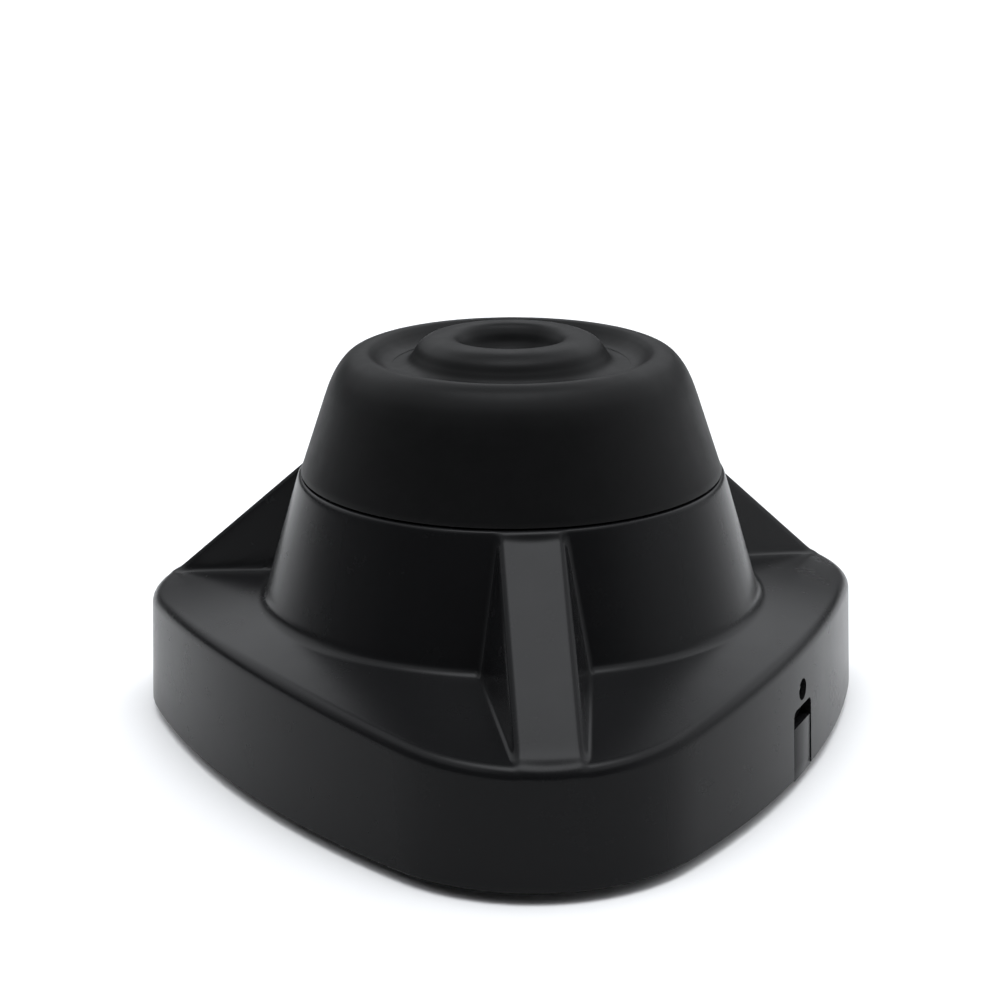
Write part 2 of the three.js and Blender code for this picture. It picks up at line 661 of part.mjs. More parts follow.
// moving platform with the motor hung under it
add('motor_platform', platform(), NATURAL_NYLON);
add('motor_can', motorCan(), STEEL);
const endCap = cut(solid(disc(11.0, 7.0, 12.0, 28)), disc(2.4, 9.0, 13.0, 14));
add('motor_end_cap', endCap, BLACK_EPOXY);
for (const [name, side] of [['right', 1], ['left', -1]]) {
  const magnet = extrude(sector(MAGNET_R, 62), 13.5, 35.5, 6).rotateZ(side > 0 ? 0 : 180 * DEG);
  add(`motor_magnet_${name}`, magnet, FERRITE);
  const fixing = screw(1.05, 36.9, PLATFORM_Z[1] + GAP, 2.2, 1.5);
  add(`motor_screw_${name}`, fixing, STEEL).position.set(side * MOTOR_SCREW_AT, 0, 0);
  const terminal = block([-0.3, 0.3], [-1.3, 1.3], [4.2, 6.7]);
  add(`motor_terminal_${name}`, terminal, BRASS).position.set(side * 7, 0, 0);
}

// turning shaft and eccentric; the eccentric points to the back at rest
const crank = group();
crank.rotation.z = 90 * DEG;
add('motor_shaft', disc(SHAFT_R, 9.6, HUB_Z[1] - 1.2, 12), STEEL, crank);
add('motor_rotor', motorRotor(), STEEL, crank);
add('eccentric_hub', eccentricHub(), BRASS, crank);
add('counterweight', counterweight(), BRASS, crank);
add('hub_grub_screw', grubScrew(), STEEL, crank);
const offset = group(crank);
offset.position.x = ECCENTRIC;
add('bearing_inner_race', ring(2.5, 3.9, ...BEARING_Z, 20), STEEL, offset);
add('bearing_retaining_screw', screw(0.8, 55.2, BEARING_Z[1] + 0.9, 3.2, 1.4, 12), STEEL, offset);
add('bearing_balls', bearingBalls(), STEEL, offset);
add('bearing_outer_race', ring(6.6, 8.0, ...BEARING_Z, 28), STEEL, offset);
add('cup_carrier', cupCarrier(), NATURAL_NYLON, offset);
add('shaker_cup', shakerCup(), BLACK_RUBBER, offset);

// start switch under the platform
const switchSeat = group();
switchSeat.rotation.z = SWITCH_ANGLE * DEG;
const [switchDeep, switchWide] = SWITCH_HALF;
const plungerSpan = [SWITCH_Z[1] - 2.4, SWITCH_Z[1] + 1.7];
const switchBody = cut(
  solid(block([GUIDE_AT - switchDeep, GUIDE_AT + switchDeep], [-switchWide, switchWide], SWITCH_Z)),
  block([GUIDE_AT - 1.1, GUIDE_AT + 1.1], [-1.8, 1.8], [plungerSpan[0] - PRESS_TRAVEL - GAP, 40]),
);
add('start_switch', switchBody, BLACK_EPOXY, switchSeat);
const plunger = block([GUIDE_AT - 0.8, GUIDE_AT + 0.8], [-1.5, 1.5], plungerSpan);
add('switch_plunger', plunger, WHITE_PLASTIC, switchSeat);

// electronics behind the port
const portSide = group();
portSide.rotation.z = PORT_ANGLE * DEG;
const portBay = group(portSide);
portBay.position.y = PORT_SHIFT;
add('control_board', controlBoard(), GREEN_BOARD, portBay);
const socket = add('charge_socket', portShell(), STEEL, portBay);
socket.rotation.y = 90 * DEG;
socket.position.set(SIDE_REACH - SOCKET_SET_BACK - SOCKET_LENGTH, 0, PORT_Z);
const tongue = block([-0.35, 0.35], [-3.2, 3.2], [0.9, 6.6]);
const socketTongue = add('charge_socket_tongue', tongue, BLACK_EPOXY, portBay);
socketTongue.rotation.y = 90 * DEG;
socketTongue.position.copy(socket.position);
const led = add('status_led', statusLed(), LED_LENS, portBay);
led.rotation.set(0, 90 * DEG, 0);
led.position.set(SIDE_REACH - 7.2, 0, LED_Z);
const lift = BOARD_Z[1] + GAP;
add('battery_connector', block([43, 49], [6.8, 12.8], [lift, lift + 4.8]), WHITE_PLASTIC, portBay);
add('motor_connector', block([43, 49], [-12.8, -6.8], [lift, lift + 4.8]), WHITE_PLASTIC, portBay);
add('charger_chip', block([41.5, 46.5], [-2, 2], [lift, lift + 1.5]), BLACK_EPOXY, portBay);
BOARD_SCREWS.forEach(([x, y], i) => {
  const fixing = screw(0.9, 4.6, BOARD_Z[1] + GAP, 2.0, 1.3);
  add(`board_screw_${i + 1}`, fixing, STEEL, portBay).position.set(x, y, 0);
});

// battery
add('battery_cradle', batteryCradle(), BLACK_ABS);
add('battery_cell', batteryCell(), CELL_WRAP);
add('battery_contact_positive', batteryContact(1), BRASS);
add('battery_contact_negative', batteryContact(-1), BRASS);

// leads, each clipped all the way between its two ends
const onBoard = (x, y, z) => {
  const [nx, ny] = polar(1, PORT_ANGLE);
  const along = y + PORT_SHIFT;
  return [x * nx - along * ny, x * ny + along * nx, z];
};
const bySwitch = (out, turn, z) => polar(GUIDE_AT + out, SWITCH_ANGLE + turn, z);
const leads = {
  lead_battery_positive: [RED_PVC, 12, [
    [CELL_HALF + 4.4, CELL_Y + 1.0, 16.3], [CELL_HALF + 4.4, CELL_Y - 8.6, 15.0], [36.8, 22.0, 9.0],
    [33.8, 12.0, 6.5], onBoard(31.4, 12.6, 9.4), onBoard(36.6, 11.0, 14.0), onBoard(42.7, 11.0, 14.0),
  ]],
  lead_battery_negative: [BLACK_PVC, 20, [
    [-CELL_HALF - 4.4, CELL_Y + 1.0, 16.3], [-CELL_HALF - 4.4, CELL_Y - 9.0, 14.0],
    [-34.6, 20.0, 6.4], [-24.0, 21.8, FLOOR_RUN], [0, 20.6, FLOOR_RUN], [20.0, 21.8, FLOOR_RUN],
    [30.0, 16.0, FLOOR_RUN + 0.6], onBoard(31.6, 8.6, 8.0), onBoard(36.6, 8.6, 14.0),
    onBoard(42.7, 8.6, 14.0),
  ]],
  lead_motor_positive: [RED_PVC, 12, [
    [8.3, 0, 4.4], [14.0, -1.0, 4.2], [21.0, -6.0, 5.0], onBoard(31.0, -5.0, 9.0),
    onBoard(36.4, -8.6, 14.0), onBoard(42.7, -8.6, 14.0),
  ]],
  lead_motor_negative: [BLACK_PVC, 14, [
    [-8.3, 0, 4.4], [-13.0, -4.0, 4.2], [-11.6, -14.0, 4.2], [2.0, -19.0, 4.2],
    onBoard(26.0, -10.8, 6.4), onBoard(33.6, -9.0, 11.8), onBoard(37.0, -10.9, 14.4),
    onBoard(42.7, -10.9, 14.4),
  ]],
  lead_switch_common: [YELLOW_PVC, 16, [
    bySwitch(1.6, -15.6, 31.5), bySwitch(3.6, -23, 27.0), bySwitch(3.4, -20, 9.0),
    bySwitch(6.4, -4, 4.0), bySwitch(10.0, 24, 4.0), [-4.0, -38.0, 4.0], [12.0, -37.5, 4.6],
    onBoard(33.2, -17.4, 9.4), onBoard(38.0, -16.4, 12.4), onBoard(40.6, -9.6, 13.0),
    onBoard(42.7, -9.75, 12.0),
  ]],
};
for (const [name, [material, steps, points]] of Object.entries(leads)) {
  add(name, bar(through(points), LEAD_R, steps, 6), material);
}

export default part;
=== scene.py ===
import json
import math

import bmesh
import bpy
import numpy as np
from mathutils import Matrix, Vector


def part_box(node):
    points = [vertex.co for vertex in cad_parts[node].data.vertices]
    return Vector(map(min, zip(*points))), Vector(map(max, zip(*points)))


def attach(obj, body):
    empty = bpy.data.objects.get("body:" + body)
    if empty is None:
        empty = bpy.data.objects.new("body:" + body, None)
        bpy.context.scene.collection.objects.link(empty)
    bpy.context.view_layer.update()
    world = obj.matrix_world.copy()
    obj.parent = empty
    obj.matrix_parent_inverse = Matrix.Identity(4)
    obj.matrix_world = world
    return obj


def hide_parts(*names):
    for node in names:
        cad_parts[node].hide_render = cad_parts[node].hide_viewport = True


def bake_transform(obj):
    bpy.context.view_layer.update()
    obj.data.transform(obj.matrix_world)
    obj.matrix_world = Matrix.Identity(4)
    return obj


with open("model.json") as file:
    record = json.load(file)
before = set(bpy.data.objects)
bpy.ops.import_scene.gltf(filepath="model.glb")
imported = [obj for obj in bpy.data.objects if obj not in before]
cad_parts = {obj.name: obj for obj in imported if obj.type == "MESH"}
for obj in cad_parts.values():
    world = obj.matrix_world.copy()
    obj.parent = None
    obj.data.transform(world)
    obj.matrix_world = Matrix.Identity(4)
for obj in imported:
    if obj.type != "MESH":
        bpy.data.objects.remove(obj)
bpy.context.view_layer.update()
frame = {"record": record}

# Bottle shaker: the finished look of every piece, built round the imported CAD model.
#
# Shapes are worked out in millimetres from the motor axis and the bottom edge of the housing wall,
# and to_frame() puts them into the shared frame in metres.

MM = 0.001
DEG = math.pi / 180
GAP = 0.3  # what pieces that touch keep between them, in mm
SLOT_OF = {row["node"]: row["material_slot"] for row in frame["record"]["subparts"]}
BODY_OF = {node: body for body, nodes in frame["record"]["behaviour"]["bodies"].items() for node in nodes}

# ---- places, from the frame


def middle(node):
    """The middle of a CAD node's box, in the frame."""
    low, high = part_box(node)
    return (low + high) / 2


def in_mm(point):
    """A point of the frame, in millimetres from the motor axis and the wall's bottom edge."""
    return (Vector(point) - ORIGIN) / MM


ORIGIN = Vector((middle("rubber_boot").x, middle("rubber_boot").y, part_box("housing")[0].z))
FLOOR_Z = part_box("foot_front")[0].z
SEAM_Z = in_mm(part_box("rubber_boot")[0]).z - GAP
SPIGOT_Z = in_mm(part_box("housing")[1]).z
RIM_Z = in_mm(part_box("rubber_boot")[1]).z
HUMP_Z = in_mm(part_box("shaker_cup")[1]).z
CORNER_REACH = -in_mm(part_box("housing")[0]).y
SIDE_REACH = in_mm(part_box("housing")[1]).y
CUP_AXIS = in_mm(middle("cup_carrier"))

# ---- driving dimensions, in mm

CORNER_R = 34.4
CORNER_AT = CORNER_REACH - CORNER_R
SIDE_BULGE = SIDE_REACH - CORNER_R - CORNER_AT / 2
CORNERS = {"front": -90, "right": 30, "left": 150}

WALL = 2.4
WALL_DRAFT = 0.043  # the wall leans in this much per millimetre upwards
DECK_FALL = 0.2
TOWER_FOOT_R = 47.1
TOWER_FOOT_Z = 27.0
SEAM_R = 40.0
SHOULDER = 2.6
GRIP_R = 37.0
GRIP_LEAN = 0.333

RIB_TOP = (40.1, 50.2)  # radius and height of the rib's top line at the tower
RIB_FOOT = (76.0, 19.3)  # and where it would meet the corner
RIB_HALF = 5.7
RIB_FLARE = 0.27
RIB_FALL = (RIB_TOP[1] - RIB_FOOT[1]) / (RIB_FOOT[0] - RIB_TOP[0])
TOWER_LEAN = (TOWER_FOOT_R - SEAM_R) / (SEAM_Z - TOWER_FOOT_Z)

ARRIS_R = 1.9
FOOT_FILLET = 1.3
RIB_EDGE_R = 1.1
RIB_FILLET = 0.95
SEAM_EDGE_R = 0.55
BOTTOM_EDGE = 0.4

RUBBER = 2.2
FOOT_AT = in_mm(middle("foot_front")).y * -1
PORT_ANGLE = -30
PORT_SHIFT = -1.3  # the port lies this far from the middle of its side
NOTCH = (4.8, 13.4, 1.4)  # half width, top and corner radius of the port's notch
LAMP_HOLE_R = 2.0
PORT_Z = in_mm(middle("charge_socket")).z
LED_Z = 16.3

# ---- mesh helpers


def to_frame(points):
    """An array of millimetre points as frame coordinates in metres."""
    return np.asarray(points, float) * MM + np.array(ORIGIN)


def turned_by(points, angle):
    """Points turned about the motor axis by angle in degrees."""
    c, s = math.cos(angle * DEG), math.sin(angle * DEG)
    points = np.asarray(points, float)
    x, y = points[..., 0], points[..., 1]
    return np.stack([c * x - s * y, s * x + c * y, points[..., 2]], axis=-1)


def new_object(name, points, faces):
    """A mesh object at the frame's origin, with its faces turned outwards."""
    mesh = bpy.data.meshes.new(name)
    mesh.from_pydata([tuple(p) for p in to_frame(points)], [], [tuple(map(int, f)) for f in faces])
    work = bmesh.new()
    work.from_mesh(mesh)
    bmesh.ops.remove_doubles(work, verts=work.verts, dist=1e-7)
    bmesh.ops.delete(work, geom=[e for e in work.edges if not e.link_faces], context="EDGES")
    bmesh.ops.recalc_face_normals(work, faces=work.faces)
    work.to_mesh(mesh)
    work.free()
    obj = bpy.data.objects.new(name, mesh)
    bpy.context.scene.collection.objects.link(obj)
    return obj


def shade(obj, angle=35):
    """Smooth shading, with the edges sharper than angle kept crisp."""
    mesh = obj.data
    mesh.polygons.foreach_set("use_smooth", [True] * len(mesh.polygons))
    work = bmesh.new()
    work.from_mesh(mesh)
    for edge in work.edges:
        edge.smooth = len(edge.link_faces) == 2 and edge.calc_face_angle(0) < angle * DEG
    work.to_mesh(mesh)
    work.free()
    return obj


def ring_grid(rows):
    """Quads of a grid whose rows and columns both close on themselves."""
    n_rows, n_cols = rows.shape[:2]
    index = np.arange(n_rows * n_cols).reshape(n_rows, n_cols)
    down = np.roll(index, -1, axis=0)
    right = np.roll(index, -1, axis=1)
    cross = np.roll(down, -1, axis=1)
    return np.stack([index, right, cross, down], axis=-1).reshape(-1, 4)


def turned(name, profile, centre=(0, 0), segments=160, angle=35):
    """A closed or axis-to-axis profile of [radius, height] points turned about a vertical axis."""
    profile = np.asarray(profile, float)
    turns = np.arange(segments) * (2 * math.pi / segments)
    radius = profile[:, 0][:, None]
    x = centre[0] + radius * np.cos(turns)
    y = centre[1] + radius * np.sin(turns)
    z = np.repeat(profile[:, 1][:, None], segments, axis=1)
    return shade(new_object(name, np.stack([x, y, z], -1).reshape(-1, 3), ring_grid(x)), angle)


def mix(p, q, start, end, t):
    """The point between p and q for a value t between start and end."""
    return p * (end - t) / (end - start) + q * (t - start) / (end - start)


def curve_through(points, per=8):
    """A smooth line through a few given points (centripetal Catmull-Rom)."""
    points = np.asarray(points, float)
    padded = np.vstack([2 * points[0] - points[1], points, 2 * points[-1] - points[-2]])
    line = []
    for a, b, c, d in zip(padded, padded[1:], padded[2:], padded[3:]):
        knots = [0.0]
        for p, q in ((a, b), (b, c), (c, d)):
            knots.append(knots[-1] + max(np.linalg.norm(q - p), 1e-9) ** 0.5)
        t0, t1, t2, t3 = knots
        for t in np.linspace(t1, t2, per, endpoint=False):
            ab, bc, cd = mix(a, b, t0, t1, t), mix(b, c, t1, t2, t), mix(c, d, t2, t3, t)
            line.append(mix(mix(ab, bc, t0, t2, t), mix(bc, cd, t1, t3, t), t1, t2, t))
    line.append(points[-1])
    return np.array(line)


def arc(centre, radius, start, end, steps=6):
    """Points of an arc, angles in degrees."""
    turns = np.linspace(start * DEG, end * DEG, steps + 1)
    return [(centre[0] + radius * math.cos(t), centre[1] + radius * math.sin(t)) for t in turns]


def finish_piece(obj, body, material, slot, *nodes):
    """Gives a piece its material and body, and hides the CAD nodes it stands for."""
    obj.data.materials.clear()
    obj.data.materials.append(material)
    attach(obj, body)
    if nodes:
        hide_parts(*nodes)
    return obj


def apply_modifiers(obj):
    """Writes an object's modifiers into its mesh."""
    graph = bpy.context.evaluated_depsgraph_get()
    mesh = bpy.data.meshes.new_from_object(obj.evaluated_get(graph))
    obj.modifiers.clear()
    old = obj.data
    obj.data = mesh
    bpy.data.meshes.remove(old)
    return obj


def carve(obj, cutter, operation="DIFFERENCE"):
    """Cuts, joins or crosses obj with cutter, and removes the cutter."""
    modifier = obj.modifiers.new("carve", "BOOLEAN")
    modifier.operation = operation
    modifier.object = cutter
    modifier.solver = "MANIFOLD"
    apply_modifiers(obj)
    bpy.data.objects.remove(cutter)
    return obj


def join(obj, other):
    """Joins another solid to obj, and removes it."""
    return carve(obj, other, "UNION")


def between(n):
    """Faces of a solid that runs from one outline of n points to a second one above it."""
    sides = [(i, (i + 1) % n, n + (i + 1) % n, n + i) for i in range(n)]
    return sides + [tuple(range(n - 1, -1, -1)), tuple(range(n, 2 * n))]


def prism(name, outline, z0, z1):
    """A plan outline of [x, y] points as an upright solid."""
    outline = np.asarray(outline, float)
    low = np.column_stack([outline, np.full(len(outline), z0)])
    high = np.column_stack([outline, np.full(len(outline), z1)])
    return new_object(name, np.vstack([low, high]), between(len(outline)))


def round_bar(name, line, radius, sides=16):
    """A round bar along a line of millimetre points, with flat ends."""
    line = np.asarray(line, float)
    ahead = np.gradient(line, axis=0)
    ahead /= np.linalg.norm(ahead, axis=1)[:, None]
    up = np.cross(ahead[0], (0.3, 0.5, 0.8))
    rings = []
    for point, along in zip(line, ahead):
        up = up - along * np.dot(up, along)
        up /= np.linalg.norm(up)
        side = np.cross(along, up)
        turns = np.arange(sides) * (2 * math.pi / sides)
        rings.append(point + radius * (np.outer(np.cos(turns), up) + np.outer(np.sin(turns), side)))
    rings = np.array(rings)
    index = np.arange(len(line) * sides).reshape(len(line), sides)
    across = np.roll(index, -1, axis=1)
    quads = np.stack([index[:-1], across[:-1], across[1:], index[1:]], -1).reshape(-1, 4)
    faces = [tuple(q) for q in quads] + [tuple(index[0][::-1]), tuple(index[-1])]
    return shade(new_object(name, rings.reshape(-1, 3), faces), 50)


def soften(profile, size=0.3, steps=3):
    """A closed profile with each of its corners off the axis replaced by a short curve."""
    points = [np.array(p, float) for p in profile]
    line = []
    for before, here, after in zip(points[-1:] + points[:-1], points, points[1:] + points[:1]):
        back, on = before - here, after - here
        reach = min(size, 0.45 * np.linalg.norm(back), 0.45 * np.linalg.norm(on))
        if here[0] < 1e-6 or reach < 0.02:
            line.append(here)
            continue
        start, end = here + back / np.linalg.norm(back) * reach, here + on / np.linalg.norm(on) * reach
        for t in np.linspace(0, 1, steps + 1):
            line.append((1 - t) ** 2 * start + 2 * t * (1 - t) * here + t * t * end)
    return line


def soft_turned(name, profile, centre=(0, 0), size=0.3, segments=96):
    """A turned piece with softened corners."""
    return turned(name, soften(profile, size), centre, segments, 40)


def moved(obj, spin=0.0, shift=(0, 0, 0), tilt=None):
    """Tilts a mesh about the origin of its drawing, shifts it in mm and spins it about the motor axis."""
    step = Matrix.Translation(Vector(shift) * MM)
    if tilt:
        step = step @ Matrix.Rotation(tilt[1] * DEG, 4, tilt[0])
    step = Matrix.Rotation(spin * DEG, 4, "Z") @ step
    obj.data.transform(Matrix.Translation(ORIGIN) @ step @ Matrix.Translation(-ORIGIN))
    return obj


def in_bay(obj, shift=(0, 0, 0), tilt=None):
    """Moves a piece drawn with x outwards and y along the wall to the charging port's side."""
    return moved(obj, PORT_ANGLE, (shift[0], shift[1] + PORT_SHIFT, shift[2]), tilt)


def edged(obj, width=0.2, segments=2, angle=40):
    """Rounds the edges of a piece that are sharper than angle."""
    modifier = obj.modifiers.new("edges", "BEVEL")
    modifier.width = width * MM
    modifier.segments = segments
    modifier.limit_method = "ANGLE"
    modifier.angle_limit = angle * DEG
    modifier.use_clamp_overlap = True
    modifier.miter_outer = "MITER_ARC"
    apply_modifiers(obj)
    return shade(obj, 33)


def block(name, x, y, z):
    """A box between two limits along each axis."""
    return prism(name, [(x[0], y[0]), (x[1], y[0]), (x[1], y[1]), (x[0], y[1])], *z)


def at_angle(radius, angle):
    """Where a radius at an angle in degrees ends, as x and y."""
    return radius * math.cos(angle * DEG), radius * math.sin(angle * DEG)


def disc_at(name, radius, z0, z1, centre=(0, 0), segments=48):
    """An upright round bar."""
    turns = np.arange(segments) * (2 * math.pi / segments)
    ring = [(centre[0] + radius * math.cos(t), centre[1] + radius * math.sin(t)) for t in turns]
    return prism(name, ring, z0, z1)


def lying_disc(name, radius, x0, x1, y, z, segments=48):
    """A round bar along x."""
    return moved(disc_at(name, radius, x0, x1, segments=segments), shift=(0, y, z), tilt=("Y", 90))


def drive_recess(kind, size, top, depth):
    """The cutter for a screw's drive: a hexagon or a cross."""
    if kind == "hex":
        return prism("drive", [at_angle(size, 60 * k) for k in range(6)], top - depth, top + 1)
    arm = 0.17 * size
    cross = [(size, arm), (arm, arm), (arm, size), (-arm, size), (-arm, arm), (-size, arm)]
    cross += [(-x, -y) for x, y in cross]
    return prism("drive", cross, top - depth, top + 1)


# outline of a screw's head, in shares of its radius and height
HEAD_DOME = ((1, 0.55), (0.97, 0.72), (0.88, 0.88), (0.72, 0.97), (0.5, 1), (0, 1))


def screw(name, shank_r, tip, seat, head_r, head_h, drive="cross", shoulder=None):
    """A machine screw standing on its tip, with rolled thread, domed head and drive recess."""
    pitch = 0.32 * shank_r + 0.12
    root = shank_r * 0.86
    line = [(0, tip), (root * 0.7, tip)]
    top_of_thread = shoulder[1] if shoulder else seat - 0.4
    height = tip + 0.5
    while height + pitch < top_of_thread:
        line += [(root, height), (root, height + 0.18 * pitch), (shank_r, height + 0.5 * pitch),
                 (shank_r, height + 0.62 * pitch)]
        height += pitch
    line.append((root, top_of_thread))
    if shoulder:
        step_r, step_z = shoulder[0], top_of_thread
        line += [(step_r - 0.2, step_z), (step_r, step_z + 0.2), (step_r, seat)]
    else:
        line += [(shank_r, top_of_thread + 0.1), (shank_r, seat)]
    line += [(head_r - 0.1, seat), (head_r, seat + 0.12)]
    line += [(head_r * x, seat + head_h * z) for x, z in HEAD_DOME]
    piece = turned(name, line, segments=40, angle=30)
    reach = head_r * (0.42 if drive == "hex" else 0.58)
    carve(piece, drive_recess(drive, reach, seat + head_h, head_h * 0.62))
    return shade(piece, 30)


# ---- materials


def add_node(tree, kind, **values):
    """A shader node, with some of its inputs or settings given by name."""
    node = tree.nodes.new(kind)
    for key, value in values.items():
        if key in node.inputs:
            node.inputs[key].default_value = value
        else:
            setattr(node, key, value)
    return node


def noise(tree, place, scale, detail=4.0, roughness=0.55):
    """Cloudy noise from 0 to 1."""
    node = add_node(tree, "ShaderNodeTexNoise", Scale=scale, Detail=detail, Roughness=roughness)
    tree.links.new(place, node.inputs["Vector"])
    return node.outputs["Fac"]


def ramp(tree, value, low, high, out_low, out_high):
    """A value between low and high, mapped to out_low and out_high."""
    node = add_node(tree, "ShaderNodeMapRange")
    for socket, number in zip(("From Min", "From Max", "To Min", "To Max"), (low, high, out_low, out_high)):
        node.inputs[socket].default_value = number
    tree.links.new(value, node.inputs["Value"])
    return node.outputs["Result"]


def blend_colour(tree, share, first, second):
    """A mix of two colours, each given as numbers or by another node."""
    node = add_node(tree, "ShaderNodeMix", data_type="RGBA")
    tree.links.new(share, node.inputs["Factor"])
    for socket, colour in ((6, first), (7, second)):
        if isinstance(colour, bpy.types.NodeSocket):
            tree.links.new(colour, node.inputs[socket])
        else:
            node.inputs[socket].default_value = (*colour, 1)
    return node.outputs[2]


def scaled(tree, place, scale):
    """A place stretched along each axis."""
    node = add_node(tree, "ShaderNodeVectorMath", operation="MULTIPLY")
    node.inputs[1].default_value = scale
    tree.links.new(place, node.inputs[0])
    return node.outputs[0]


def surface(
    name, colour, tint, rough, patch, grain=1800, bump=0.15, bump_depth=0.00003, metal=0.0, brushed=None,
    edge_wear_and_highlight=0.0, edge_wear_and_highlight_colour=None, specular=0.5, coat=0.0, clear=0.0,
):
    """A procedural surface: cloudy colour, uneven gloss, fine grain in the bump, and lighter edges that are
    partly wear and partly painted highlight.
    """
    material = bpy.data.materials.new(name)
    material.use_nodes = True
    tree = material.node_tree
    shader = tree.nodes["Principled BSDF"]
    place = add_node(tree, "ShaderNodeTexCoord").outputs["Object"]
    if brushed:
        place = scaled(tree, place, brushed)
    clouds = ramp(tree, noise(tree, place, patch, 5), 0.35, 0.65, 0, 1)
    shown = blend_colour(tree, clouds, colour, tint)
    specks = noise(tree, place, grain, 3)
    # lighter colour on sharp edges, found from pointiness: partly wear, partly painted highlight
    if edge_wear_and_highlight:
        bend = add_node(tree, "ShaderNodeNewGeometry").outputs["Pointiness"]
        edges = ramp(tree, bend, 0.505, 0.56, 0, edge_wear_and_highlight)
        worn_and_highlit = edge_wear_and_highlight_colour or tuple(min(1, c * 3 + 0.02) for c in colour)
        shown = blend_colour(tree, edges, shown, worn_and_highlit)
    tree.links.new(shown, shader.inputs["Base Color"])
    gloss = noise(tree, place, patch * 3.1, 6, 0.6)
    tree.links.new(ramp(tree, gloss, 0.3, 0.7, rough[0], rough[1]), shader.inputs["Roughness"])
    relief = add_node(tree, "ShaderNodeBump", Strength=bump, Distance=bump_depth)
    tree.links.new(specks, relief.inputs["Height"])
    tree.links.new(relief.outputs["Normal"], shader.inputs["Normal"])
    shader.inputs["Metallic"].default_value = metal
    shader.inputs["Specular IOR Level"].default_value = specular
    shader.inputs["Coat Weight"].default_value = coat
    shader.inputs["Transmission Weight"].default_value = clear
    return material


def grey(value):
    return (value, value, value)


